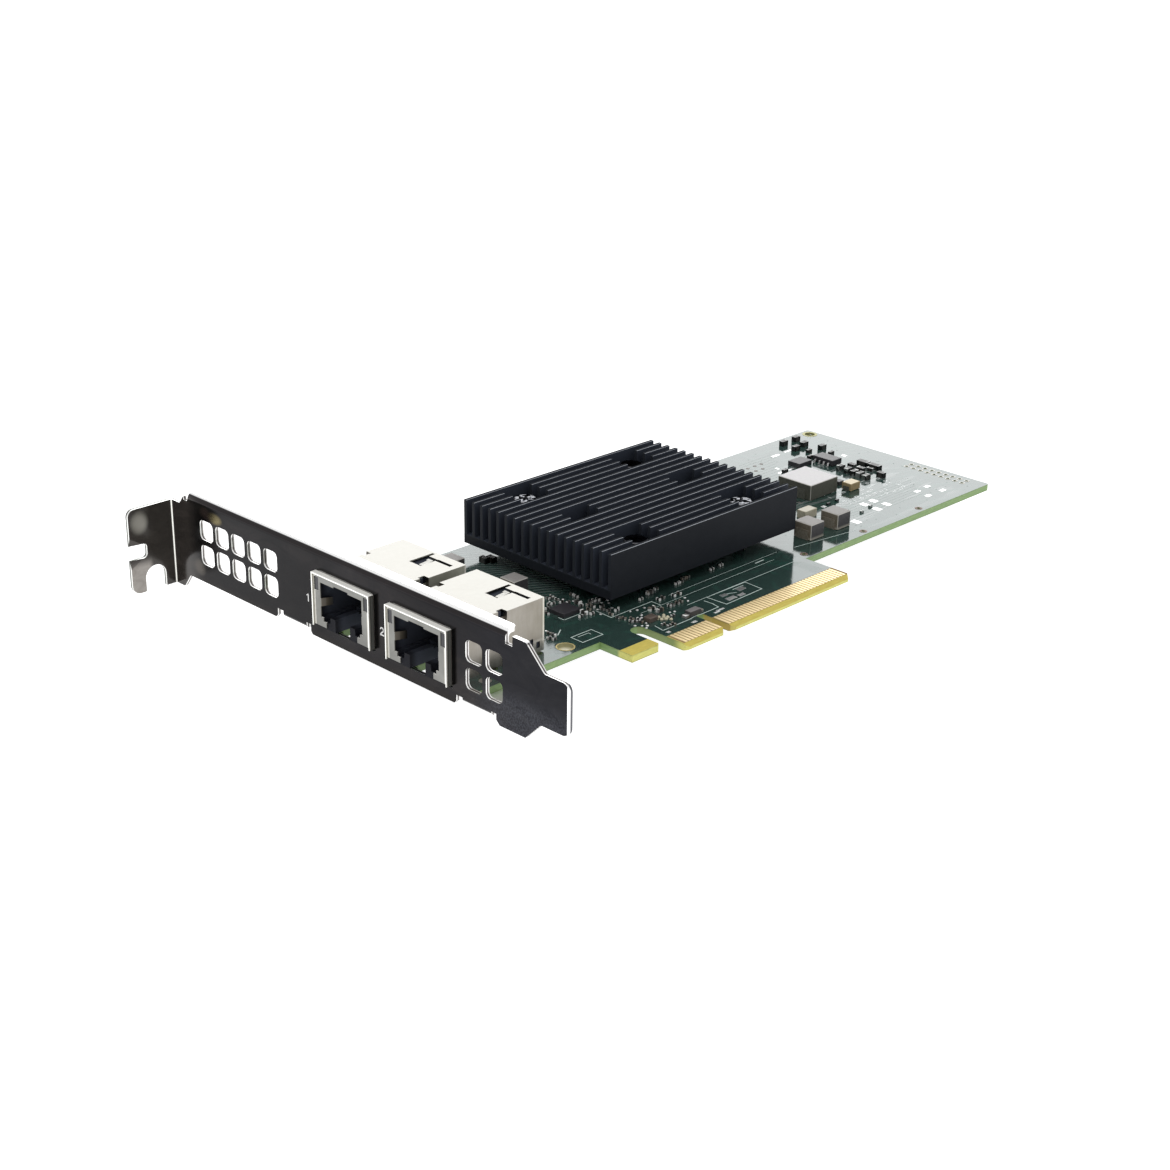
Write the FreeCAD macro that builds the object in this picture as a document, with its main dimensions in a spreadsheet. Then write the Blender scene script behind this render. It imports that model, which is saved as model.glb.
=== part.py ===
import FreeCAD, Part
import math
import os
import Sketcher
from FreeCAD import Placement, Rotation, Vector

# Two-port server network interface card, millimetres, +Z up, lying flat.
# Origin: centre of the connector's key notch, at the connector's tip, on the
# board's component side. +X runs to the board's rear edge, +Y to its long top
# edge, and the component side faces +Z. The bracket stands at the -X end.

doc = FreeCAD.newDocument("network_interface_card")
sheet = doc.addObject("Spreadsheet::Sheet", "Dimensions")

CELLS = [
    # board
    ("board_thick", 1.57), ("board_left", -56.7), ("board_rear", 109.3),
    ("board_edge", 12.95), ("board_high", 68.9),
    ("hook_left", -24.0), ("hook_right", -16.1), ("hook_tip", 4.2), ("hook_chamfer", 0.5),
    ("relief_high", 13.3), ("connector_left", -12.6), ("connector_right", 39.6),
    ("key_half", 0.95), ("key_high", 8.8), ("bevel_long", 1.3), ("bevel_deep", 0.47),
    ("latch_gap_long", 8.0), ("latch_gap_wide", 4.8),
    # contacts
    ("contact_pitch", 1.0), ("contact_wide", 0.7), ("contact_low", 1.3),
    ("contact_high", 5.6), ("contact_thick", 0.04), ("ring_thick", 0.04),
    # bracket
    ("sheet_thick", 0.86), ("bracket_face", -58.0), ("fold_line", 107.4),
    ("seat_end", -68.95), ("seat_high", 12.88), ("seat_low", -6.15),
    ("flange_high", 16.0), ("flange_deep", 3.1), ("flange_bend", 1.6),
    ("flange_start", 3.6), ("flange_stop", 101.4), ("tail_end", -12.8), ("tail_bevel", 0.5),
    ("vent_wide", 4.5), ("vent_tall", 4.45), ("vent_pitch", 5.48), ("vent_rise", 5.6),
    ("vent_corner", 1.15), ("foot_long", 9.8), ("foot_screw", 1.3),
    # jacks
    ("port_one", 49.43), ("port_pitch", 22.376), ("jack_front", -59.3),
    ("jack_step", -44.7), ("jack_rear", -34.9), ("jack_high", 11.4),
    ("sleeve_wide", 17.6), ("shell_wide", 19.2), ("shield_wall", 0.25),
    ("face_recess", 0.3), ("mouth_wide", 12.74), ("mouth_low", 2.33), ("mouth_high", 9.73),
    ("mouth_deep", 13.2), ("latch_wide", 4.5), ("lens_wide", 1.29), ("lens_low", 7.73),
    ("lens_tall", 2.87), ("contact_step", 1.02), ("wire_thick", 0.35),
    # heat sink
    ("sink_left", -12.8), ("sink_right", 45.7), ("sink_low", 21.1), ("sink_high", 65.1),
    ("sink_base", 3.0), ("sink_plate", 2.1), ("sink_peak", 12.85), ("fin_thick", 0.8),
    ("fin_pitch", 2.54), ("fin_count", 18), ("pin_left", 0.05), ("pin_right", 33.25),
    ("pin_low", 26.6), ("pin_high", 59.6), ("pin_shaft", 1.2), ("pin_head", 2.5),
    ("chip_side", 25.0), ("chip_high", 2.6), ("chip_x", 16.6), ("chip_y", 43.1),
    # power parts
    ("choke_long", 10.5), ("choke_wide", 10.0), ("choke_high", 3.8),
    ("small_choke", 5.0), ("small_choke_high", 3.7),
]
for row, (alias, value) in enumerate(CELLS, 1):
    sheet.set("A%d" % row, alias.replace("_", " "))
    sheet.set("B%d" % row, str(value))
    sheet.setAlias("B%d" % row, alias)
doc.recompute()


class Dim:
    """A length together with the spreadsheet formula that gives it."""

    def __init__(self, value, formula):
        self.value = float(value)
        self.formula = formula

    def _mix(self, other, sign, back=False):
        other = dim(other)
        a, b = (other, self) if back else (self, other)
        value = {"+": a.value + b.value, "-": a.value - b.value,
                 "*": a.value * b.value, "/": a.value / b.value if sign == "/" else 0}[sign]
        return Dim(value, "(%s %s %s)" % (a.formula, sign, b.formula))

    def __add__(self, other): return self._mix(other, "+")
    def __radd__(self, other): return self._mix(other, "+", True)
    def __sub__(self, other): return self._mix(other, "-")
    def __rsub__(self, other): return self._mix(other, "-", True)
    def __mul__(self, other): return self._mix(other, "*")
    def __rmul__(self, other): return self._mix(other, "*", True)
    def __truediv__(self, other): return self._mix(other, "/")
    def __neg__(self): return dim(0) - self
    def __float__(self): return self.value


def dim(x):
    return x if isinstance(x, Dim) else Dim(x, repr(float(x)))


def cell(alias):
    return Dim(float(getattr(sheet, alias)), "Dimensions." + alias)


D = {alias: cell(alias) for alias, _ in CELLS}
N = {alias: float(d) for alias, d in D.items()}
T = D["sheet_thick"]
NODES = []


def bind(obj, prop, x):
    if isinstance(x, Dim):
        obj.setExpression(prop, x.formula)
    else:
        setattr_path(obj, prop, float(x))


def setattr_path(obj, prop, x):
    if prop.startswith("Placement.Base."):
        p = obj.Placement
        base = Vector(p.Base)
        setattr(base, prop[-1], x)
        obj.Placement = Placement(base, p.Rotation)
    else:
        setattr(obj, prop, x)


def node(obj, name):
    """Name a sub-part; its label is its file's name."""
    obj.Label = name
    NODES.append(obj)
    return obj


# ---------------------------------------------------------------- helpers
def box(name, x0, x1, y0, y1, z0, z1):
    o = doc.addObject("Part::Box", name)
    for prop, x in (("Length", dim(x1) - x0), ("Width", dim(y1) - y0), ("Height", dim(z1) - z0),
                    ("Placement.Base.x", dim(x0)), ("Placement.Base.y", dim(y0)),
                    ("Placement.Base.z", dim(z0))):
        bind(o, prop, x)
    return o


def cylinder(name, x, y, z0, z1, r):
    o = doc.addObject("Part::Cylinder", name)
    for prop, v in (("Radius", dim(r)), ("Height", dim(z1) - z0), ("Placement.Base.x", dim(x)),
                    ("Placement.Base.y", dim(y)), ("Placement.Base.z", dim(z0))):
        bind(o, prop, v)
    return o


def fuse(name, *parts):
    o = doc.addObject("Part::MultiFuse", name)
    o.Shapes = list(parts)
    o.Refine = True
    return o


def cut(name, base, *tools):
    tool = tools[0] if len(tools) == 1 else fuse(name + "_tools", *tools)
    o = doc.addObject("Part::Cut", name)
    o.Base = base
    o.Tool = tool
    o.Refine = True
    return o


def round_edges(name, base, radius, test):
    """Fillet the edges of base that pass test(edge)."""
    doc.recompute()
    o = doc.addObject("Part::Fillet", name)
    o.Base = base
    o.Edges = [(i, radius, radius) for i, e in enumerate(base.Shape.Edges, 1) if test(e)]
    return o


def body(name):
    return doc.addObject("PartDesign::Body", name)


def plane(b, role):
    return [f for f in b.Origin.OriginFeatures if f.Role == role][0]


def sketch(b, name, role, offset=0.0):
    s = b.newObject("Sketcher::SketchObject", name)
    s.AttachmentSupport = [(plane(b, role), "")]
    s.MapMode = "FlatFace"
    s.AttachmentOffset = Placement(Vector(0, 0, float(dim(offset))), Rotation())
    if isinstance(offset, Dim):
        s.setExpression("AttachmentOffset.Base.z", offset.formula)
    return s


def locate(s, geo, point, x, y):
    for kind, v in (("DistanceX", x), ("DistanceY", y)):
        k = s.addConstraint(Sketcher.Constraint(kind, -1, 1, geo, point, float(dim(v))))
        if isinstance(v, Dim):
            s.setExpression("Constraints[%d]" % k, v.formula)


def polygon(s, points):
    """Closed polygon, every corner placed from the sketch's origin."""
    first = s.GeometryCount
    n = len(points)
    for i in range(n):
        a, c = points[i], points[(i + 1) % n]
        s.addGeometry(Part.LineSegment(Vector(float(a[0]), float(a[1]), 0),
                                       Vector(float(c[0]), float(c[1]), 0)), False)
    for i in range(n):
        s.addConstraint(Sketcher.Constraint("Coincident", first + i, 2, first + (i + 1) % n, 1))
    for i in range(n):
        locate(s, first + i, 1, points[i][0], points[i][1])


def rectangle(s, x0, x1, y0, y1):
    polygon(s, [(x0, y0), (x1, y0), (x1, y1), (x0, y1)])


def circle(s, x, y, r):
    g = s.addGeometry(Part.Circle(Vector(float(x), float(y), 0), Vector(0, 0, 1), float(dim(r))), False)
    locate(s, g, 3, x, y)
    k = s.addConstraint(Sketcher.Constraint("Radius", g, float(dim(r))))
    if isinstance(r, Dim):
        s.setExpression("Constraints[%d]" % k, r.formula)


def pad(b, name, s, length, reverse=False):
    o = b.newObject("PartDesign::Pad", name)
    o.Profile = s
    o.Length = float(dim(length))
    if isinstance(length, Dim):
        o.setExpression("Length", length.formula)
    o.Reversed = reverse
    s.Visibility = False
    return o


def pocket(b, name, s, length, reverse=False, both=False):
    before = None
    doc.recompute()
    before = b.Shape.Volume
    o = b.newObject("PartDesign::Pocket", name)
    o.Profile = s
    o.Length = float(dim(length))
    if isinstance(length, Dim):
        o.setExpression("Length", length.formula)
    o.Reversed = reverse
    o.Midplane = both
    doc.recompute()
    if not b.Shape.Volume < before - 1e-4:
        raise RuntimeError("pocket %s cut nothing" % name)
    return o


def dress(b, kind, name, size, test):
    """Fillet or chamfer on the edges of the body's present tip that pass test(edge)."""
    doc.recompute()
    tip = b.Tip
    names = ["Edge%d" % i for i, e in enumerate(tip.Shape.Edges, 1) if test(e)]
    if not names:
        raise RuntimeError("no edge for " + name)
    o = b.newObject("PartDesign::" + kind, name)
    o.Base = (tip, names)
    if kind == "Fillet":
        o.Radius = float(dim(size))
        if isinstance(size, Dim):
            o.setExpression("Radius", size.formula)
    else:
        o.Size = float(dim(size))
        if isinstance(size, Dim):
            o.setExpression("Size", size.formula)
    doc.recompute()
    if not b.Shape.isValid():
        raise RuntimeError("bad result from " + name)
    return o


def ends(e):
    return [v.Point for v in e.Vertexes]


def straight(e, axis):
    """True for a straight edge along 'x', 'y' or 'z'."""
    if len(e.Vertexes) != 2 or e.Curve.TypeId != "Part::GeomLine":
        return False
    a, c = ends(e)
    d = c - a
    return all(abs(getattr(d, k)) < 1e-6 for k in "xyz" if k != axis)


def at(e, x=None, y=None, z=None, tol=1e-3):
    """True where both ends of the edge lie at the given coordinates."""
    for p in ends(e):
        for want, got in ((x, p.x), (y, p.y), (z, p.z)):
            if want is not None and abs(float(dim(want)) - got) > tol:
                return False
    return True


def feature(name, shapes):
    """One node made of several separate solids, sized from the sheet in code."""
    o = doc.addObject("Part::Feature", name)
    o.Shape = Part.makeCompound(shapes) if len(shapes) > 1 else shapes[0]
    o.Placement = Placement(Vector(0, 0, 0), Rotation())
    return node(o, name)


def block(x0, x1, y0, y1, z0, z1):
    return Part.makeBox(x1 - x0, y1 - y0, z1 - z0, Vector(x0, y0, z0))


def post(x, y, z0, z1, r):
    return Part.makeCylinder(r, z1 - z0, Vector(x, y, z0))


def prism(points, axis, low, high):
    """Extrude a polygon of 2-D points along 'x' (y,z points), 'y' (x,z) or 'z' (x,y)."""
    def put(u, v):
        return {"x": Vector(low, u, v), "y": Vector(u, low, v), "z": Vector(u, v, low)}[axis]
    wire = Part.makePolygon([put(*p) for p in points] + [put(*points[0])])
    step = {"x": Vector(high - low, 0, 0), "y": Vector(0, high - low, 0), "z": Vector(0, 0, high - low)}[axis]
    return Part.Face(wire).extrude(step)


def soften(shape, radius, test):
    edges = [e for e in shape.Edges if test(e)]
    return shape.makeFillet(radius, edges)


TOPZ = 0.0
LOWZ = -N["board_thick"]
PORTS = [(1, D["port_one"]), (2, D["port_one"] - D["port_pitch"])]

# ---------------------------------------------------------------- board
# Outline, seen from the component side. The hook beside the connector and the
# connector's blade hang below the board's long edge.
pcb = body("board_body")
s = sketch(pcb, "board_outline", "XY_Plane")
key = D["key_half"]
tip = D["hook_tip"]
polygon(s, [
    (D["board_left"], D["board_edge"]), (D["hook_left"], D["board_edge"]), (D["hook_left"], tip),
    (D["hook_right"] - D["hook_chamfer"], tip), (D["hook_right"], tip + D["hook_chamfer"]),
    (D["hook_right"], D["relief_high"]), (D["connector_left"], D["relief_high"]),
    (D["connector_left"], dim(0.5)), (D["connector_left"] + 0.5, 0.0),
    (-key - 1.2, 0.0), (-key, dim(1.2)), (-key, D["key_high"]), (key, D["key_high"]),
    (key, dim(0.8)), (key + 0.8, 0.0), (D["connector_right"] - 1.5, 0.0),
    (D["connector_right"], dim(1.5)), (D["connector_right"], D["board_edge"]),
    (D["board_rear"], D["board_edge"]), (D["board_rear"], D["board_high"]),
    (D["board_left"], D["board_high"])])
pad(pcb, "board_sheet", s, D["board_thick"], reverse=True)
half = (N["connector_left"] - N["hook_right"]) / 2
dress(pcb, "Fillet", "relief_round", half - 0.01,
      lambda e: straight(e, "z") and at(e, y=N["relief_high"]) and abs(ends(e)[0].x + 14.35) < 2)
dress(pcb, "Fillet", "key_round", N["key_half"] - 0.01,
      lambda e: straight(e, "z") and at(e, y=N["key_high"]))
dress(pcb, "Fillet", "board_corners", 0.6,
      lambda e: straight(e, "z") and (at(e, x=N["board_left"]) or at(e, x=N["board_rear"])))
s = sketch(pcb, "tip_bevels", "YZ_Plane", D["connector_left"] - 1.0)
bl, bd, bt = D["bevel_long"], D["bevel_deep"], D["board_thick"]
polygon(s, [(-0.3, 0.3), (-0.3, -bd - bd * 0.3 / 1.3), (bl, 0.0), (bl + 0.3, 0.3)])
polygon(s, [(-0.3, -bt - 0.3), (bl + 0.3, -bt - 0.3), (bl, -bt), (-0.3, -bt + bd + bd * 0.3 / 1.3)])
pocket(pcb, "tip_bevel_cut", s, D["connector_right"] - D["connector_left"] + 2.0, reverse=True)

# Holes: bracket screws, two plated mounting holes, small plated holes, a
# double row of test holes, heat-sink screws, and the jacks' pins and legs.
BRACKET_SCREWS = [(-52.0, 15.6), (-52.0, 65.3)]
PLATED = [(-30.5, 16.0, 1.65, 1.95), (106.8, 66.2, 1.3, 1.9)]
SMALL_PLATED = [(41.3, 14.8), (61.9, 14.4), (83.1, 14.6)]
TEST_ROWS = [(105.0 + 2.0 * k, 17.8 + 2.05 * i) for k in range(2) for i in range(9)]
SINK_PINS = [(x, y) for x in (N["pin_left"], N["pin_right"]) for y in (N["pin_low"], N["pin_high"])]
JACK_PINS = []
JACK_LEGS = []
for _, port in PORTS:
    yc = float(port)
    JACK_PINS += [(-38.6 + 2.54 * (i % 2), yc - 6.35 + 1.27 * i) for i in range(11)]
    JACK_LEGS += [(-47.3, yc - 8.68), (-47.3, yc + 8.68), (-36.4, yc - 9.48), (-36.4, yc + 9.48)]
s = sketch(pcb, "hole_pattern", "XY_Plane", 0.5)
for x, y in BRACKET_SCREWS:
    circle(s, x, y, D["foot_screw"])
for x, y, r, _ in PLATED:
    circle(s, x, y, r)
for x, y in SMALL_PLATED:
    circle(s, x, y, 0.45)
for x, y in TEST_ROWS:
    circle(s, x, y, 0.4)
for x, y in SINK_PINS:
    circle(s, x, y, D["pin_shaft"] + 0.15)
for x, y in JACK_PINS:
    circle(s, x, y, 0.4)
for x, y in JACK_LEGS:
    circle(s, x, y, 0.85)
pocket(pcb, "holes", s, D["board_thick"] + 1.0)
# Gaps at the front edge that give each plug's latch its room.
s = sketch(pcb, "latch_gaps", "XY_Plane", 0.5)
for _, port in PORTS:
    rectangle(s, D["board_left"] - 1.0, D["board_left"] + D["latch_gap_long"],
              port - D["latch_gap_wide"] / 2, port + D["latch_gap_wide"] / 2)
pocket(pcb, "latch_gap_cut", s, D["board_thick"] + 1.0)
dress(pcb, "Fillet", "latch_gap_round", 0.9,
      lambda e: straight(e, "z") and at(e, x=N["board_left"] + N["latch_gap_long"]))
node(pcb, "circuit_board")

# ---------------------------------------------------------------- edge contacts
FINGERS = [-11.5 + i for i in range(11)] + [1.5 + i for i in range(38)]


def fingers(z0, z1):
    w = N["contact_wide"] / 2
    out = []
    for x in FINGERS:
        f = block(x * N["contact_pitch"] - w, x * N["contact_pitch"] + w,
                  N["contact_low"], N["contact_high"], z0, z1)
        out.append(soften(f, 0.2, lambda e: straight(e, "z") and at(e, y=N["contact_high"])))
    return out


feature("edge_contacts_component_side", fingers(0.0, N["contact_thick"]))
feature("edge_contacts_solder_side", fingers(LOWZ - N["contact_thick"], LOWZ))

# Plated rings round the holes, on both faces.
rings = []
RINGS = [(x, y, r, o) for x, y, r, o in PLATED]
RINGS += [(x, y, 0.45, 0.9) for x, y in SMALL_PLATED]
RINGS += [(x, y, 0.4, 0.68) for x, y in TEST_ROWS]
for x, y, r, o in RINGS:
    for z0, z1 in ((0.0, N["ring_thick"]), (LOWZ - N["ring_thick"], LOWZ)):
        rings.append(post(x, y, z0, z1, o).cut(post(x, y, z0 - 1, z1 + 1, r)))
feature("plated_rings", rings)

# ---------------------------------------------------------------- bracket
# One folded sheet: a face plate, a flange turned in along its top, a seat
# turned out at its far end, and two feet turned in under the board.
br = body("bracket_body")
face = D["bracket_face"]
fold = D["fold_line"]
s = sketch(br, "face_outline", "YZ_Plane", face)
foot_z = -D["board_thick"] - T
polygon(s, [
    (fold + T, D["seat_high"]), (104.4, D["seat_high"]), (103.1, 14.7), (102.9, 14.0), (101.7, 14.0),
    (D["flange_stop"], 14.6), (D["flange_stop"], D["flange_high"]),
    (D["flange_start"], D["flange_high"]), (D["flange_start"], 13.4), (1.8, 13.4), (1.7, 15.4),
    (-1.7, 15.4), (-6.5, 10.77), (D["tail_end"], 10.77), (D["tail_end"], 0.38), (-5.7, 0.38), (-1.64, -3.6),
    (5.2, -3.6), (6.1, -2.7), (6.1, -1.5), (7.4, -1.5), (7.4, foot_z), (15.3, foot_z),
    (15.3, -1.44), (17.0, -1.44), (17.0, -2.7), (17.6, -3.3), (60.1, -3.2), (60.6, -2.6),
    (60.6, -1.1), (62.0, -1.1), (62.0, foot_z), (69.6, foot_z), (69.6, -1.0), (71.4, -1.0),
    (71.4, -2.4), (72.0, -3.05), (102.0, -3.0), (104.4, D["seat_low"]), (fold + T, D["seat_low"])])
pad(br, "face_plate", s, T)
s = sketch(br, "flange_outline", "XY_Plane", D["flange_high"] - T)
rectangle(s, face, face + D["flange_deep"], D["flange_start"], D["flange_stop"])
pad(br, "flange", s, T)
s = sketch(br, "feet_outline", "XY_Plane", foot_z)
rectangle(s, face, face + D["foot_long"], 7.4, 15.3)
rectangle(s, face, face + D["foot_long"], 62.0, 69.6)
pad(br, "feet", s, T)
# The second foot widens behind the face to carry its screw.
s = sketch(br, "foot_ear", "XY_Plane", foot_z)
rectangle(s, face + 2.2, face + D["foot_long"], 15.0, 18.7)
pad(br, "foot_ear_pad", s, T)
s = sketch(br, "seat_outline", "XZ_Plane", -(fold + T))
back = face + T
end = D["seat_end"]
polygon(s, [
    (back, D["seat_high"]), (end, D["seat_high"]), (end, 4.75), (-64.8, 4.75), (-64.8, 1.5),
    (end, 1.5), (end, D["seat_low"]), (-65.6, D["seat_low"]), (-65.6, -0.75), (-60.5, -0.75),
    (-60.5, D["seat_low"]), (back, D["seat_low"])])
pad(br, "seat", s, T)
dress(br, "Fillet", "slot_round", 2.5,
      lambda e: straight(e, "y") and at(e, z=-0.75) and abs(ends(e)[0].x + 63.05) < 2.6)
dress(br, "Fillet", "notch_round", 0.9,
      lambda e: straight(e, "y") and at(e, x=-64.8))
# Lead-in bevels struck into the seat beside the guide notch.
for tag, (z_out, z_in) in (("upper", (6.8, 4.75)), ("lower", (-0.5, 1.5))):
    sign = 1.0 if z_out > z_in else -1.0
    s1 = sketch(br, "bevel_%s_mouth" % tag, "YZ_Plane", end - 0.2)
    polygon(s1, [(fold - 0.1, z_out + 0.3 * sign), (fold + 0.62, z_in), (fold + 0.62, z_in - 0.3 * sign),
                 (fold - 0.1, z_in - 0.3 * sign)])
    s2 = sketch(br, "bevel_%s_end" % tag, "YZ_Plane", end + 3.1)
    polygon(s2, [(fold - 0.1, z_in + 0.12 * sign), (fold + 0.02, z_in), (fold + 0.02, z_in - 0.3 * sign),
                 (fold - 0.1, z_in - 0.3 * sign)])
    doc.recompute()
    before = br.Shape.Volume
    loft = br.newObject("PartDesign::SubtractiveLoft", "bevel_%s" % tag)
    loft.Profile = s1
    loft.Sections = [s2]
    loft.Ruled = True
    doc.recompute()
    if not br.Shape.Volume < before - 1e-3:
        raise RuntimeError("bevel cut nothing")
# Port windows, vents, and the feet's tapped holes.
s = sketch(br, "port_windows", "YZ_Plane", face - 0.5)
for _, port in PORTS:
    rectangle(s, port - D["sleeve_wide"] / 2 - 0.22, port + D["sleeve_wide"] / 2 + 0.22,
              -0.5, D["jack_high"] + 0.25)
pocket(br, "port_window_cut", s, T + 1.0, reverse=True)
VENTS = [(97.38, 6.73, 5, 2), (14.32, 6.45, 2, 2)]
s = sketch(br, "vent_outline", "YZ_Plane", face - 0.5)
VENT_BOXES = []
for high, low, across, rows in VENTS:
    for i in range(across):
        for k in range(rows):
            y1 = high - i * D["vent_pitch"]
            z0 = low - k * D["vent_rise"]
            rectangle(s, y1 - D["vent_wide"], y1, z0, z0 + D["vent_tall"])
            VENT_BOXES.append((float(y1) - N["vent_wide"], float(y1), float(z0), float(z0) + N["vent_tall"]))
pocket(br, "vent_cut", s, T + 1.0, reverse=True)
s = sketch(br, "foot_holes", "XY_Plane", foot_z - 0.5)
for x, y in BRACKET_SCREWS:
    circle(s, x, y, 1.3)
pocket(br, "foot_hole_cut", s, T + 1.0, reverse=True)


def vent_corner(e):
    if not straight(e, "x"):
        return False
    p = ends(e)[0]
    return any(min(abs(p.y - y0), abs(p.y - y1)) < 1e-3 and min(abs(p.z - z0), abs(p.z - z1)) < 1e-3
               for y0, y1, z0, z1 in VENT_BOXES)


dress(br, "Fillet", "vent_corners", D["vent_corner"], vent_corner)
dress(br, "Fillet", "port_corners", 0.6,
      lambda e: straight(e, "x") and at(e, z=N["jack_high"] + 0.25) and 17 < ends(e)[0].y < 60)
dress(br, "Fillet", "tail_corners", 1.7,
      lambda e: straight(e, "x") and at(e, y=N["tail_end"]))
s = sketch(br, "tail_lead_outline", "XY_Plane", dim(12.0))
tb, te = D["tail_bevel"], D["tail_end"]
polygon(s, [(face - 0.2, te - 0.2), (face + tb + 0.2, te - 0.2), (face - 0.2, te + tb + 0.2)])
pocket(br, "tail_lead_cut", s, 12.0)
dress(br, "Fillet", "seat_corner_high", 1.6,
      lambda e: straight(e, "y") and at(e, x=N["seat_end"], z=N["seat_high"]))
dress(br, "Fillet", "seat_corner_low", 2.0,
      lambda e: straight(e, "y") and at(e, x=N["seat_end"], z=N["seat_low"]))
dress(br, "Fillet", "seat_bend_in", 0.5,
      lambda e: straight(e, "z") and at(e, x=N["bracket_face"], y=N["fold_line"]))
dress(br, "Fillet", "seat_bend_out", 1.36,
      lambda e: straight(e, "z") and at(e, x=N["bracket_face"] + N["sheet_thick"],
                                        y=N["fold_line"] + N["sheet_thick"]))
dress(br, "Fillet", "flange_bend_out", D["flange_bend"],
      lambda e: straight(e, "y") and at(e, x=N["bracket_face"], z=N["flange_high"]))
dress(br, "Fillet", "flange_bend_in", D["flange_bend"] - T,
      lambda e: straight(e, "y") and at(e, x=N["bracket_face"] + N["sheet_thick"],
                                        z=N["flange_high"] - N["sheet_thick"]))
dress(br, "Fillet", "feet_bend_out", 0.88,
      lambda e: straight(e, "y") and at(e, x=N["bracket_face"], z=LOWZ - N["sheet_thick"]))
dress(br, "Fillet", "flange_corners", 1.2,
      lambda e: straight(e, "z") and at(e, x=N["bracket_face"] + N["flange_deep"]))
dress(br, "Fillet", "feet_corners", 1.0,
      lambda e: straight(e, "z") and at(e, x=N["bracket_face"] + N["foot_long"]))
dress(br, "Fillet", "shoulder_corners", 0.7,
      lambda e: straight(e, "x") and (at(e, y=104.4) or at(e, y=102.0) or at(e, y=-1.7)
                                      or at(e, y=-6.5) or at(e, y=-5.7) or at(e, y=-1.64)))
node(br, "bracket")

# Screws through the feet into the board: low pan heads under the feet.
screws = []
under = LOWZ - N["sheet_thick"]
for x, y in BRACKET_SCREWS:
    head = soften(post(x, y, under - 1.4, under, 2.5), 0.6, lambda e: at(e, z=under - 1.4))
    for a in (0, 90):
        slot = block(-1.5, 1.5, -0.3, 0.3, under - 2.0, under - 0.7)
        slot.rotate(Vector(0, 0, 0), Vector(0, 0, 1), a + 20)
        slot.translate(Vector(x, y, 0))
        head = head.cut(slot)
    shank = post(x, y, under, -0.05, 1.25)
    screws.append(head.fuse(shank).removeSplitter())
feature("bracket_screws", screws)

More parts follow.
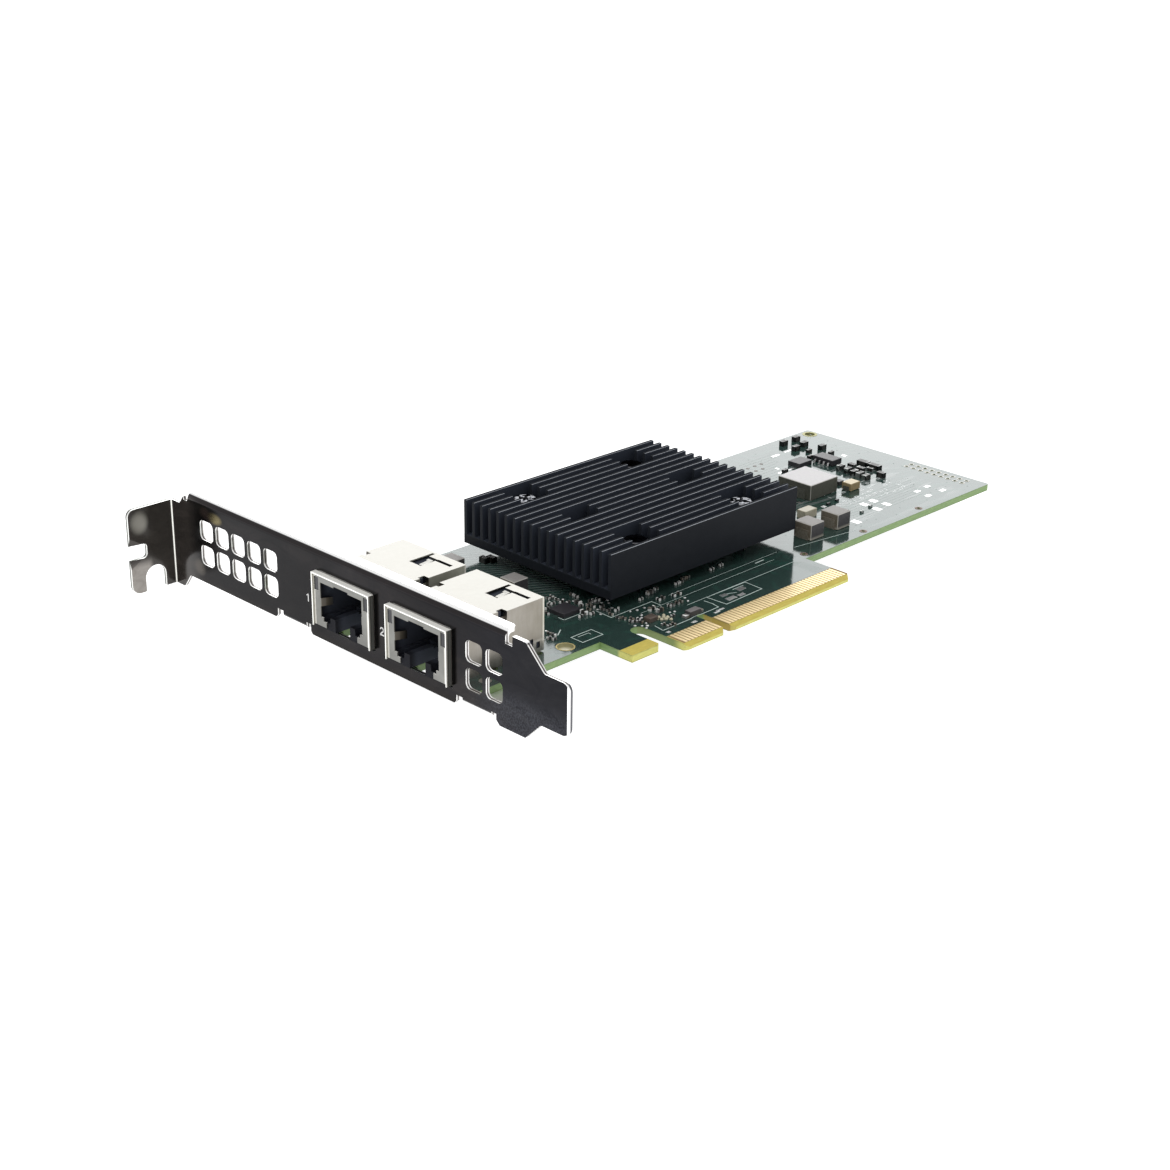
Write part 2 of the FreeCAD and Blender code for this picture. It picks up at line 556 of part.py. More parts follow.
# ---------------------------------------------------------------- jacks
W = D["shield_wall"]
for n, port in PORTS:
    p = "jack_%d_" % n
    hw, rw = D["sleeve_wide"] / 2, D["shell_wide"] / 2
    top = D["jack_high"]
    # Shield: one folded tin shell, narrower where it passes the bracket.
    outer = fuse(p + "outer",
                 box(p + "sleeve", D["jack_front"], D["jack_step"] + W, port - hw, port + hw, 0.0, top),
                 box(p + "shell", D["jack_step"], D["jack_rear"], port - rw, port + rw, 0.35, top))
    cavity = fuse(p + "hollow",
                  box(p + "hollow_front", D["jack_front"] - 1.0, D["jack_step"] + 1.0,
                      port - hw + W, port + hw - W, -1.0, top - W),
                  box(p + "hollow_rear", D["jack_step"] + W, D["jack_rear"] - W,
                      port - rw + W, port + rw - W, -1.0, top - W))
    shell = cut(p + "shell_hollow", outer, cavity)
    # Face plate set back behind the sleeve's lips, with the plug's mouth, the
    # stepped keyway below it and two lamp windows.
    fx = D["jack_front"] + D["face_recess"]
    mw, ml, mh = D["mouth_wide"] / 2, D["mouth_low"], D["mouth_high"]
    plate = box(p + "face", fx, fx + W, port - hw + W, port + hw - W, 0.35, top - W)
    mouth = [box(p + "mouth_main", fx - 1, fx + 1, port - mw, port + mw, ml, mh),
             box(p + "mouth_rise", fx - 1, fx + 1, port - 2.2, port + 2.2, ml, mh + 0.33),
             box(p + "mouth_step_a", fx - 1, fx + 1, port - mw + 0.75, port + mw - 0.75, 1.5, ml + 1),
             box(p + "mouth_step_b", fx - 1, fx + 1, port - mw + 1.6, port + mw - 1.6, -1.0, ml + 1),
             box(p + "lamp_left", fx - 1, fx + 1, port + mw + 0.56, port + mw + 0.56 + D["lens_wide"],
                 D["lens_low"], D["lens_low"] + D["lens_tall"]),
             box(p + "lamp_right", fx - 1, fx + 1, port - mw - 0.56 - D["lens_wide"], port - mw - 0.56,
                 D["lens_low"], D["lens_low"] + D["lens_tall"])]
    plate = cut(p + "face_cut", plate, *mouth)
    # Earth leaves slanted in at the mouth's sides, and legs down into the board.
    springs = []
    for tag, side in (("left", 1), ("right", -1)):
        y0 = float(port) + side * float(mw)
        x0, t = float(fx), 0.1
        leaf = doc.addObject("Part::Feature", p + "spring_" + tag)
        leaf.Shape = prism([(x0, y0 + t * side), (x0 + 2.3, y0 + side * (t - 0.94)),
                            (x0 + 2.3, y0 - side * (t + 0.94)), (x0, y0 - side * t)], "z", 4.6, 6.3)
        springs.append(leaf)
    legs = []
    for k, (x, y) in enumerate(JACK_LEGS[4 * (n - 1):4 * n]):
        side = 1.0 if y > float(port) else -1.0
        wall = hw if k < 2 else rw
        y_out = port + wall * side
        y_in = y_out - W * side
        lo, hi = (y_in, y_out) if side > 0 else (y_out, y_in)
        legs.append(box(p + "leg_%d" % k, x - 0.55, x + 0.55, lo, hi, -2.35, 1.2))
    # Openings: a flag-shaped window and a slit in the roof, side windows low at
    # the rear, and a gap in each side at the step.
    yo = lambda d: port + d
    roof = [box(p + "roof_a", -41.8, -35.6, yo(-1.13), yo(-0.33), top - 1, top + 1),
            box(p + "roof_b", -41.8, -37.2, yo(-3.83), yo(-1.1), top - 1, top + 1),
            box(p + "roof_slit", -37.95, -37.05, yo(-8.13), yo(-3.8), top - 1, top + 1)]
    sides = [box(p + "skirt_slot", -38.7, -37.8, yo(-12), yo(12), -1.0, 3.5),
             box(p + "skirt_window", -37.0, -36.0, yo(-12), yo(12), 1.2, 2.5),
             box(p + "step_gap_right", D["jack_step"] - 1.5, D["jack_step"] + 0.05, yo(-12), yo(-8.1), 10.1, top + 1),
             box(p + "step_gap_left", D["jack_step"] - 1.5, D["jack_step"] + 0.05, yo(8.1), yo(12), 10.1, top + 1)]
    shield = cut(p + "shield_cut", fuse(p + "shield_sum", shell, plate, *springs), *(roof + sides))
    shield = fuse(p + "shield_fuse", shield, *legs)
    node(shield, p + "shield")

    # Housing: the moulded insulator that the plug enters.
    hx0, hx1 = fx + W, D["jack_step"] - 0.6
    base = box(p + "insulator", hx0, hx1, port - hw + W, port + hw - W, 0.0, top - W)
    cav = [box(p + "cavity", hx0 - 1, D["jack_front"] + D["mouth_deep"], port - mw - 0.18, port + mw + 0.18, ml, mh + 0.15),
           box(p + "comb_channel", hx0 - 1, hx0 + 9.0, port - 4.4, port + 4.4, ml, mh + 0.55),
           box(p + "latch_slot", hx0 - 1, D["board_left"] + D["latch_gap_long"],
               port - D["latch_wide"] / 2, port + D["latch_wide"] / 2, -1.0, ml + 1),
           box(p + "lamp_way_left", hx0 - 1, hx1 + 1, port + mw + 0.5, port + mw + 0.6 + D["lens_wide"],
               D["lens_low"] - 0.05, D["lens_low"] + D["lens_tall"] + 0.05),
           box(p + "lamp_way_right", hx0 - 1, hx1 + 1, port - mw - 0.6 - D["lens_wide"], port - mw - 0.5,
               D["lens_low"] - 0.05, D["lens_low"] + D["lens_tall"] + 0.05),
           box(p + "keyway_left", hx0 - 1, hx0 + 8.0, port + D["latch_wide"] / 2 + 1.6, port + mw - 0.75, 1.5, ml + 1),
           box(p + "keyway_right", hx0 - 1, hx0 + 8.0, port - mw + 0.75, port - D["latch_wide"] / 2 - 1.6, 1.5, ml + 1)]
    ribs = [box(p + "rib_left", hx0, hx0 + 6.0, port + D["latch_wide"] / 2, port + D["latch_wide"] / 2 + 1.5, 0.0, 2.8),
            box(p + "rib_right", hx0, hx0 + 6.0, port - D["latch_wide"] / 2 - 1.5, port - D["latch_wide"] / 2, 0.0, 2.8)]
    housing = fuse(p + "housing_sum", cut(p + "housing_cut", base, *cav), *ribs)
    node(housing, p + "housing")

    # Rear block: transformers potted behind the insulator.
    module = cut(p + "module_cut",
                 box(p + "module", D["jack_step"] + 0.3, D["jack_rear"] - 0.35, port - rw + 0.4, port + rw - 0.4, 0.35, top - 0.75),
                 box(p + "module_groove", -41.2, -37.6, port - 3.4, port - 1.4, top - 1.6, top))
    node(module, p + "magnetics")

# Plug contacts: eight sprung wires that lie along the roof of the mouth and
# slope down to its back.
for n, port in PORTS:
    wires = []
    yc = float(port)
    x0 = N["jack_front"] + N["face_recess"] + N["shield_wall"]
    zt = N["mouth_high"] + 0.55
    xb = N["jack_front"] + N["mouth_deep"]
    t = N["wire_thick"]
    for i in range(8):
        y = yc + (i - 3.5) * N["contact_step"]
        prof = [(x0 + 0.8, zt), (x0 + 4.0, zt), (xb - 1.2, 7.05), (xb - 1.2, 7.05 - t),
                (x0 + 3.9, zt - t), (x0 + 0.8, zt - t)]
        wires.append(prism(prof, "y", y - 0.21, y + 0.21))
    feature("jack_%d_contacts" % n, wires)

# Lamp lenses: clear rods that bring the light from the rear to the face.
lenses = []
for n, port in PORTS:
    yc = float(port)
    hx0 = N["jack_front"] + N["face_recess"]
    for side in (1, -1):
        near = N["mouth_wide"] / 2 + 0.59
        far = near + N["lens_wide"] - 0.06
        lo, hi = sorted((yc + side * near, yc + side * far))
        lenses.append(block(hx0 + 0.12, N["jack_step"] - 0.6, lo, hi, N["lens_low"] + 0.03,
                            N["lens_low"] + N["lens_tall"] - 0.03))
feature("lamp_lenses", lenses)

# Solder pins under each rear block, with their joints below the board.
pins = []
for x, y in JACK_PINS:
    pin = post(x, y, LOWZ - 0.75, 0.35, 0.25)
    joint = Part.makeCone(0.7, 0.25, 0.6, Vector(x, y, LOWZ), Vector(0, 0, -1))
    pins.append(pin.fuse(joint).removeSplitter())
feature("jack_solder_pins", pins)

# ---------------------------------------------------------------- heat sink
sink = body("sink_body")
s = sketch(sink, "sink_plate_outline", "XY_Plane", D["sink_base"])
rectangle(s, D["sink_left"], D["sink_right"], D["sink_low"], D["sink_high"])
pad(sink, "sink_plate_pad", s, D["sink_plate"])
s = sketch(sink, "fin_outline", "XY_Plane", D["sink_base"] + D["sink_plate"])
rectangle(s, D["sink_left"], D["sink_right"], D["sink_low"], D["sink_low"] + D["fin_thick"])
fin = pad(sink, "fin", s, D["sink_peak"] - D["sink_base"] - D["sink_plate"])
doc.recompute()
fins = sink.newObject("PartDesign::LinearPattern", "fins")
fins.Originals = [fin]
fins.Direction = ([f for f in sink.Origin.OriginFeatures if f.Role == "Y_Axis"][0], [""])
fins.setExpression("Length", ((D["fin_count"] - 1.0) * D["fin_pitch"]).formula)
fins.setExpression("Occurrences", D["fin_count"].formula)
sink.Tip = fins
doc.recompute()
# Fins are cleared for the corner screws and at the middle of both columns.
f = lambda k: D["sink_low"] + D["fin_thick"] / 2 + (D["fin_count"] - float(k)) * D["fin_pitch"]
gap = D["fin_pitch"] / 2
s = sketch(sink, "pocket_outline", "XY_Plane", D["sink_base"] + D["sink_plate"])
for x0, x1 in ((-4.0, 4.1), (29.1, 37.4)):
    for first, last in ((17, 15), (10, 9), (4, 2)):
        rectangle(s, dim(x0), dim(x1), f(first) - gap, f(last) + gap)
pocket(sink, "pockets", s, D["sink_peak"] - D["sink_base"], reverse=True)
s = sketch(sink, "screw_holes", "XY_Plane", D["sink_base"] - 0.5)
for x in (D["pin_left"], D["pin_right"]):
    for y in (D["pin_low"], D["pin_high"]):
        circle(s, x, y, D["pin_shaft"] + 0.2)
pocket(sink, "screw_hole_cut", s, D["sink_plate"] + 1.0, reverse=True)
node(sink, "heat_sink")

# Controller under the sink: a substrate carrying a smaller moulded cap.
chip = body("chip_body")
s = sketch(chip, "substrate_outline", "XY_Plane")
cs = D["chip_side"] / 2
rectangle(s, D["chip_x"] - cs, D["chip_x"] + cs, D["chip_y"] - cs, D["chip_y"] + cs)
pad(chip, "substrate", s, 1.2)
s = sketch(chip, "cap_outline", "XY_Plane", 1.2)
rectangle(s, D["chip_x"] - cs + 1.2, D["chip_x"] + cs - 1.2, D["chip_y"] - cs + 1.2, D["chip_y"] + cs - 1.2)
pad(chip, "cap", s, D["chip_high"] - 1.2)
node(chip, "controller_chip")
node(box("thermal_pad_box", D["chip_x"] - 9.0, D["chip_x"] + 9.0, D["chip_y"] - 9.0, D["chip_y"] + 9.0,
         D["chip_high"], D["sink_base"]), "thermal_pad")

# Four shoulder screws with springs hold the sink down; nuts below take them.
pins, springs, nuts = [], [], []
ztop = 11.4
for x, y in SINK_PINS:
    head = post(x, y, ztop - 1.5, ztop, N["pin_head"])
    head = soften(head, 0.35, lambda e: at(e, z=ztop))
    for a in (0, 90):
        slot = block(-1.4, 1.4, -0.35, 0.35, ztop - 0.9, ztop + 1)
        slot.rotate(Vector(0, 0, 0), Vector(0, 0, 1), a + 35)
        slot.translate(Vector(x, y, 0))
        head = head.cut(slot)
    shaft = post(x, y, LOWZ - 2.3, ztop - 1.5, N["pin_shaft"])
    pins.append(head.fuse(shaft).removeSplitter())
    low, high = N["sink_base"] + N["sink_plate"], ztop - 1.5
    wire = 0.3
    turns = 3.5
    rise = (high - low - 2 * wire) / turns
    helix = Part.makeHelix(rise, rise * turns, 1.95)
    helix.translate(Vector(x, y, low + wire))
    start = Vector(x + 1.95, y, low + wire)
    ring = Part.Wire([Part.makeCircle(wire, start, Vector(0, 1, 0))])
    springs.append(Part.Wire(helix).makePipeShell([ring], True, True))
    nut = post(x, y, LOWZ - 2.0, LOWZ, 2.6).cut(post(x, y, LOWZ - 3, LOWZ + 1, N["pin_shaft"] + 0.02))
    nuts.append(soften(nut, 0.3, lambda e: at(e, z=LOWZ - 2.0) and e.Curve.Radius > 2))
feature("sink_screws", pins)
feature("sink_springs", springs)
feature("sink_nuts", nuts)

# ---------------------------------------------------------------- power parts
def choke(x0, x1, y0, y1, high, wrap):
    """Pressed-powder inductor: a softened block whose two ends carry terminals."""
    core = block(x0 + wrap, x1 - wrap, y0, y1, 0.12, high)
    core = soften(core, 0.28, lambda e: straight(e, "z") or at(e, z=high))
    tabs = []
    mid, w = (y0 + y1) / 2, (y1 - y0) * 0.34
    for a, c in ((x0, x0 + wrap), (x1 - wrap, x1)):
        wall = block(a, c, mid - w, mid + w, 0.0, high * 0.62)
        foot = block(a, a + wrap + 1.3, mid - w, mid + w, 0.0, 0.12) if a == x0 else \
            block(c - wrap - 1.3, c, mid - w, mid + w, 0.0, 0.12)
        tabs.append(wall.fuse(foot).removeSplitter())
    return core, tabs


core, tabs = choke(68.1, 68.1 + N["choke_long"], 34.85, 34.85 + N["choke_wide"], N["choke_high"], 0.2)
feature("large_inductor_core", [core])
feature("large_inductor_terminals", tabs)
cores, tabs = [], []
for x, y in ((48.2, 18.6), (57.75, 18.65)):
    c1, t1 = choke(x, x + N["small_choke"], y, y + N["small_choke"], N["small_choke_high"], 0.18)
    cores.append(c1)
    tabs += t1
feature("small_inductor_cores", cores)
feature("small_inductor_terminals", tabs)
cores, tabs = [], []
for x, y in ((-23.7, 57.5), (-21.4, 40.5)):
    c1, t1 = choke(x, x + 4.5, y, y + 4.3, 3.45, 0.18)
    cores.append(c1)
    tabs += t1
feature("front_inductor_cores", cores)
feature("front_inductor_terminals", tabs)


def chip_part(x0, x1, y0, y1, z0, z1, r=0.15):
    b = block(x0, x1, y0, y1, z0, z1)
    return soften(b, r, lambda e: at(e, z=z1))


# Polymer capacitor with a pale cap, and a moulded tantalum capacitor.
feature("polymer_capacitor", [chip_part(57.9, 62.0, 27.9, 30.4, 0.0, 1.9)])
feature("tantalum_capacitor", [chip_part(80.3, 83.8, 32.3, 35.0, 0.15, 1.9, 0.2)])
feature("tantalum_terminals", [block(80.1, 80.3, 32.8, 34.5, 0.0, 1.1), block(83.8, 84.0, 32.8, 34.5, 0.0, 1.1)])
feature("converter_chip", [chip_part(84.4, 89.2, 51.3, 54.9, 0.0, 1.1, 0.1)])

# Flash memory: a small outline package with gull-wing leads on two sides.
mem = (91.2, 94.8, 46.5, 52.6)
feature("memory_chip", [chip_part(mem[0], mem[1], mem[2], mem[3], 0.12, 1.5, 0.12)])
leads = []
for i in range(4):
    y = (mem[2] + mem[3]) / 2 + (i - 1.5) * 1.35
    for side in (-1, 1):
        xe = mem[0] if side < 0 else mem[1]
        prof = [(0, 0.85), (0.35, 0.85), (0.55, 0.15), (1.05, 0.15), (1.05, 0.0), (0.42, 0.0),
                (0.22, 0.68), (0, 0.68)]
        leads.append(prism([(xe + side * u, v) for u, v in prof], "y", y - 0.22, y + 0.22))
feature("memory_chip_leads", leads)

# Flat leadless chips.
QFN = [(-21.1, -16.4, 26.0, 30.4, 0.9), (66.5, 69.5, 52.0, 54.6, 0.9), (81.8, 83.6, 37.0, 38.6, 0.9)]
feature("flat_chips", [chip_part(a, c, b, d, 0.0, h, 0.08) for a, c, b, d, h in QFN])

# Crystal in a low can, and a protection diode between two broad terminals.
feature("crystal", [chip_part(-10.3, -7.9, 12.4, 14.2, 0.0, 1.0, 0.2)])
feature("diode", [chip_part(-2.3, 0.9, 8.7, 10.3, 0.1, 1.15, 0.12)])
feature("diode_terminals", [block(-3.5, -2.3, 8.95, 10.05, 0.0, 0.55), block(0.9, 1.9, 8.95, 10.05, 0.0, 0.55)])

# Chip capacitors and resistors: a body between two plated ends.
SIZES = {"a": (1.0, 0.5, 0.5), "b": (1.6, 0.8, 0.8), "c": (2.0, 1.25, 1.25), "d": (3.2, 1.6, 1.1)}


def passive(x, y, size, turn):
    l, w, h = SIZES[size]
    e = l * 0.2
    parts = [block(-l / 2 + e, l / 2 - e, -w / 2 + 0.03, w / 2 - 0.03, 0.02, h - 0.02),
             block(-l / 2, -l / 2 + e, -w / 2, w / 2, 0.0, h), block(l / 2 - e, l / 2, -w / 2, w / 2, 0.0, h)]
    for b in parts:
        if turn:
            b.rotate(Vector(0, 0, 0), Vector(0, 0, 1), 90)
        b.translate(Vector(x, y, 0))
    return parts[0], parts[1:]


CAPS = [
    # rear power stage
    (95.1, 65.2, "c", 0), (100.1, 65.3, "c", 0), (94.3, 60.6, "c", 0), (98.3, 61.2, "c", 0),
    (99.8, 56.6, "c", 0), (95.6, 57.4, "b", 0), (92.2, 54.3, "b", 0), (98.4, 52.6, "b", 0),
    (91.1, 43.8, "c", 0), (90.7, 41.3, "c", 0), (90.4, 39.1, "c", 0), (90.3, 37.3, "c", 0),
    (93.9, 42.5, "c", 1), (93.4, 39.4, "c", 1), (98.0, 42.1, "d", 1), (97.9, 38.6, "d", 1),
    (94.1, 33.8, "c", 1), (90.0, 35.2, "c", 0), (95.7, 38.4, "b", 1), (79.6, 51.9, "b", 0),
    # beside the connector and under the sink's edge
    (0.6, 22.8, "b", 0), (3.2, 23.4, "a", 0), (8.4, 22.3, "a", 0), (9.8, 22.3, "a", 0),
    (11.4, 23.2, "a", 0), (12.8, 23.2, "a", 0), (19.8, 22.6, "a", 0), (23.0, 22.8, "a", 0),
    (-1.3, 15.4, "a", 1), (-0.4, 15.3, "a", 1), (1.0, 15.3, "a", 1), (2.1, 15.3, "a", 1),
    (5.0, 18.5, "a", 1), (3.3, 18.5, "a", 1), (0.9, 19.3, "a", 1), (-0.5, 19.2, "a", 1),
    (-3.0, 21.8, "a", 0), (-5.2, 16.7, "b", 0), (-4.6, 15.0, "b", 0), (-9.1, 9.9, "a", 0),
    (-8.8, 8.6, "a", 0), (-7.4, 8.6, "a", 1), (-4.6, 11.5, "a", 0),
    # behind the second jack and before the sink
    (-16.6, 35.2, "a", 1), (-18.8, 32.6, "a", 1), (-17.7, 32.6, "a", 0), (-22.1, 29.8, "a", 1),
    (-20.4, 31.6, "a", 0), (-15.5, 35.3, "a", 1), (-15.7, 33.6, "a", 1), (-15.9, 32.0, "a", 0),
    (-15.1, 30.9, "a", 0), (-11.6, 33.3, "a", 1), (-11.7, 31.9, "a", 1), (-13.9, 29.2, "b", 1),
    (-14.4, 27.9, "a", 0), (-16.6, 24.8, "b", 1), (-14.5, 25.5, "a", 1), (-15.6, 23.5, "a", 0),
    (-11.4, 28.1, "a", 1), (-10.5, 28.0, "a", 1), (-9.6, 27.8, "a", 1), (-12.9, 27.2, "a", 0),
    (-12.9, 25.9, "a", 1), (-11.5, 24.7, "a", 0), (-12.0, 22.4, "a", 0), (-12.5, 23.5, "a", 1),
    (-13.1, 20.6, "a", 1), (-10.7, 21.3, "a", 0), (-18.2, 24.1, "a", 0), (-12.5, 59.1, "c", 1),
    (-11.1, 58.3, "c", 1),
]
RESISTORS = [
    (-12.6, 17.4, "a", 1), (-12.7, 15.3, "a", 1), (-12.0, 14.8, "a", 1), (-11.4, 13.8, "a", 1),
    (-28.6, 22.5, "a", 1), (-28.5, 21.3, "a", 1), (-30.2, 20.9, "a", 0), (-29.8, 19.9, "a", 0),
    (-13.2, 18.5, "a", 1), (-11.6, 16.2, "a", 1), (-10.8, 15.0, "a", 1),
    (69.6, 30.5, "a", 0), (72.9, 30.6, "a", 0), (75.6, 22.9, "a", 0), (71.2, 22.0, "a", 0),
]
bodies, caps = [], []
for x, y, size, turn in CAPS:
    b, e = passive(x, y, size, turn)
    bodies.append(b)
    caps += e
feature("ceramic_capacitors", bodies)
feature("capacitor_ends", caps)
bodies, caps = [], []
for x, y, size, turn in RESISTORS:
    b, e = passive(x, y, size, turn)
    bodies.append(b)
    caps += e
feature("resistors", bodies)
feature("resistor_ends", caps)

# ---------------------------------------------------------------- check and write
doc.recompute()
for o in doc.Objects:
    if "Invalid" in o.State or "Error" in o.State:
        raise RuntimeError("%s failed: %s" % (o.Name, o.State))
labels = [o.Label for o in NODES]
if len(set(labels)) != len(labels) or len(labels) > 60:
    raise RuntimeError("labels")
for o in NODES:
    if o.Shape.isNull() or not o.Shape.isValid() or not o.Shape.Solids:
        raise RuntimeError("bad shape in " + o.Label)
os.makedirs("parts", exist_ok=True)
for o in NODES:
    o.Shape.exportStep(os.path.join("parts", o.Label + ".step"))
    b = o.Shape.BoundBox
    print("%-30s %3d solids %10.2f mm3  x %.2f..%.2f  y %.2f..%.2f  z %.2f..%.2f" % (
        o.Label, len(o.Shape.Solids), o.Shape.Volume, b.XMin, b.XMax, b.YMin, b.YMax, b.ZMin, b.ZMax))
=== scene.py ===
import math
import random

import bmesh
import bpy
from mathutils import Matrix, Vector


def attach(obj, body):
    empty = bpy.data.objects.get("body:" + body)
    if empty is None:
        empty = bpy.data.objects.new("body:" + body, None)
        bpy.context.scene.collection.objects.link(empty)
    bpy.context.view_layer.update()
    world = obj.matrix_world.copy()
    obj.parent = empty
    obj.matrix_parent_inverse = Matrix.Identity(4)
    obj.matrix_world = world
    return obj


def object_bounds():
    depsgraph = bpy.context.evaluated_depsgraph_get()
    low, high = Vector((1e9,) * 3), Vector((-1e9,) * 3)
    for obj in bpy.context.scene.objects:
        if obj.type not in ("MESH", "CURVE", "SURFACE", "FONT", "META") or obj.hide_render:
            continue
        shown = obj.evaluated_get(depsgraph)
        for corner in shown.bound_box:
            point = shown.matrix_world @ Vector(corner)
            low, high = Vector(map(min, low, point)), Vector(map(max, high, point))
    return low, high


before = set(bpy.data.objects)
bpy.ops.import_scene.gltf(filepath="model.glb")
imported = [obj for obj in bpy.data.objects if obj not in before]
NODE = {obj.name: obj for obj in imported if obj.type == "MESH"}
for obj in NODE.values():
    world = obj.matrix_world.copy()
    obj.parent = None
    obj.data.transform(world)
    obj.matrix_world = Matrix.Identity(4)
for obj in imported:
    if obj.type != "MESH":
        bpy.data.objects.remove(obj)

cad_box = [list(map(float, v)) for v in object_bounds()]
MM = 0.001


# ------------------------------------------------------------------ node helpers
class S:
    """A socket with arithmetic, so that a material reads like a formula."""

    def __init__(self, g, sock):
        self.g, self.s = g, sock

    def _m(self, op, *others, clamp=False):
        n = self.g.nt.nodes.new("ShaderNodeMath")
        n.operation = op
        n.use_clamp = clamp
        for i, v in enumerate((self,) + others):
            if isinstance(v, S):
                self.g.nt.links.new(v.s, n.inputs[i])
            else:
                n.inputs[i].default_value = v
        return S(self.g, n.outputs[0])

    def __add__(self, o): return self._m("ADD", o)
    def __radd__(self, o): return self._m("ADD", o)
    def __sub__(self, o): return self._m("SUBTRACT", o)
    def __mul__(self, o): return self._m("MULTIPLY", o)
    def __rmul__(self, o): return self._m("MULTIPLY", o)
    def __truediv__(self, o): return self._m("DIVIDE", o)
    def abs(self): return self._m("ABSOLUTE")
    def max(self, o): return self._m("MAXIMUM", o)
    def min(self, o): return self._m("MINIMUM", o)
    def power(self, o): return self._m("POWER", o)
    def frac(self): return self._m("FRACT")
    def sin(self): return self._m("SINE")
    def inv(self): return (self * -1.0) + 1.0

    def gt(self, v, soft=0.02):
        return self.step(v - soft, v + soft)

    def lt(self, v, soft=0.02):
        return self.step(v + soft, v - soft)

    def step(self, a, b):
        """0 at a, 1 at b, smooth between; b may lie below a."""
        n = self.g.nt.nodes.new("ShaderNodeMapRange")
        n.interpolation_type = "SMOOTHSTEP"
        self.g.nt.links.new(self.s, n.inputs[0])
        if a <= b:
            n.inputs[1].default_value, n.inputs[2].default_value = a, b
            n.inputs[3].default_value, n.inputs[4].default_value = 0.0, 1.0
        else:
            n.inputs[1].default_value, n.inputs[2].default_value = b, a
            n.inputs[3].default_value, n.inputs[4].default_value = 1.0, 0.0
        return S(self.g, n.outputs[0])

    def between(self, a, b, soft=0.02):
        return self.gt(a, soft) * self.lt(b, soft)


class G:
    """One procedural material. P is the position in millimetres."""

    def __init__(self, name, **consts):
        self.m = bpy.data.materials.new(name)
        self.m.use_nodes = True
        self.nt = self.m.node_tree
        self.b = self.nt.nodes["Principled BSDF"]
        tc = self.nt.nodes.new("ShaderNodeTexCoord")
        sc = self.nt.nodes.new("ShaderNodeVectorMath")
        sc.operation = "SCALE"
        sc.inputs[3].default_value = 1000.0
        self.nt.links.new(tc.outputs["Object"], sc.inputs[0])
        self.P = sc.outputs[0]
        sep = self.nt.nodes.new("ShaderNodeSeparateXYZ")
        self.nt.links.new(self.P, sep.inputs[0])
        self.x, self.y, self.z = (S(self, o) for o in sep.outputs)
        geo = self.nt.nodes.new("ShaderNodeNewGeometry")
        sn = self.nt.nodes.new("ShaderNodeSeparateXYZ")
        self.nt.links.new(geo.outputs["Normal"], sn.inputs[0])
        self.nx, self.ny, self.nz = (S(self, o) for o in sn.outputs)
        for k, v in consts.items():
            self.set(k.replace("_", " "), v)

    def set(self, name, v):
        names = {"Base": "Base Color", "Specular": "Specular IOR Level", "Coat": "Coat Weight"}
        sock = self.b.inputs[names.get(name, name)]
        if isinstance(v, S):
            self.nt.links.new(v.s, sock)
        elif hasattr(v, "is_output"):
            self.nt.links.new(v, sock)
        elif isinstance(v, (tuple, list)):
            sock.default_value = (*v, 1.0)
        else:
            sock.default_value = v

    def stretch(self, sx, sy, sz):
        n = self.nt.nodes.new("ShaderNodeVectorMath")
        n.operation = "MULTIPLY"
        self.nt.links.new(self.P, n.inputs[0])
        n.inputs[1].default_value = (sx, sy, sz)
        return n.outputs[0]

    def noise(self, scale, detail=2.0, rough=0.5, vec=None, distort=0.0):
        n = self.nt.nodes.new("ShaderNodeTexNoise")
        n.inputs["Scale"].default_value = scale
        n.inputs["Detail"].default_value = detail
        n.inputs["Roughness"].default_value = rough
        n.inputs["Distortion"].default_value = distort
        self.nt.links.new(vec or self.P, n.inputs["Vector"])
        return S(self, n.outputs["Fac"])

    def cells(self, scale, vec=None, feature="F1", what="Distance"):
        n = self.nt.nodes.new("ShaderNodeTexVoronoi")
        n.feature = feature
        n.inputs["Scale"].default_value = scale
        self.nt.links.new(vec or self.P, n.inputs["Vector"])
        return S(self, n.outputs[what])

    def ramp(self, f, stops):
        n = self.nt.nodes.new("ShaderNodeValToRGB")
        e = n.color_ramp.elements
        e[0].position, e[1].position = stops[0][0], stops[-1][0]
        for p, c in stops[1:-1]:
            e.new(p)
        for el, (p, c) in zip(sorted(e, key=lambda q: q.position), sorted(stops)):
            el.color = (*c, 1.0)
        self.nt.links.new(f.s, n.inputs[0])
        return n.outputs[0]

    def mix(self, f, a, c):
        """a where f is 0, c where f is 1; each a colour or a socket."""
        n = self.nt.nodes.new("ShaderNodeMix")
        n.data_type = "RGBA"
        self.nt.links.new(f.s, n.inputs[0])
        for i, v in ((6, a), (7, c)):
            if isinstance(v, (tuple, list)):
                n.inputs[i].default_value = (*v, 1.0)
            else:
                self.nt.links.new(v.s if isinstance(v, S) else v, n.inputs[i])
        return n.outputs[2]

    def bump(self, height, strength=0.3, dist=0.00002):
        n = self.nt.nodes.new("ShaderNodeBump")
        n.inputs["Strength"].default_value = strength
        n.inputs["Distance"].default_value = dist
        self.nt.links.new(height.s, n.inputs["Height"])
        self.nt.links.new(n.outputs[0], self.b.inputs["Normal"])


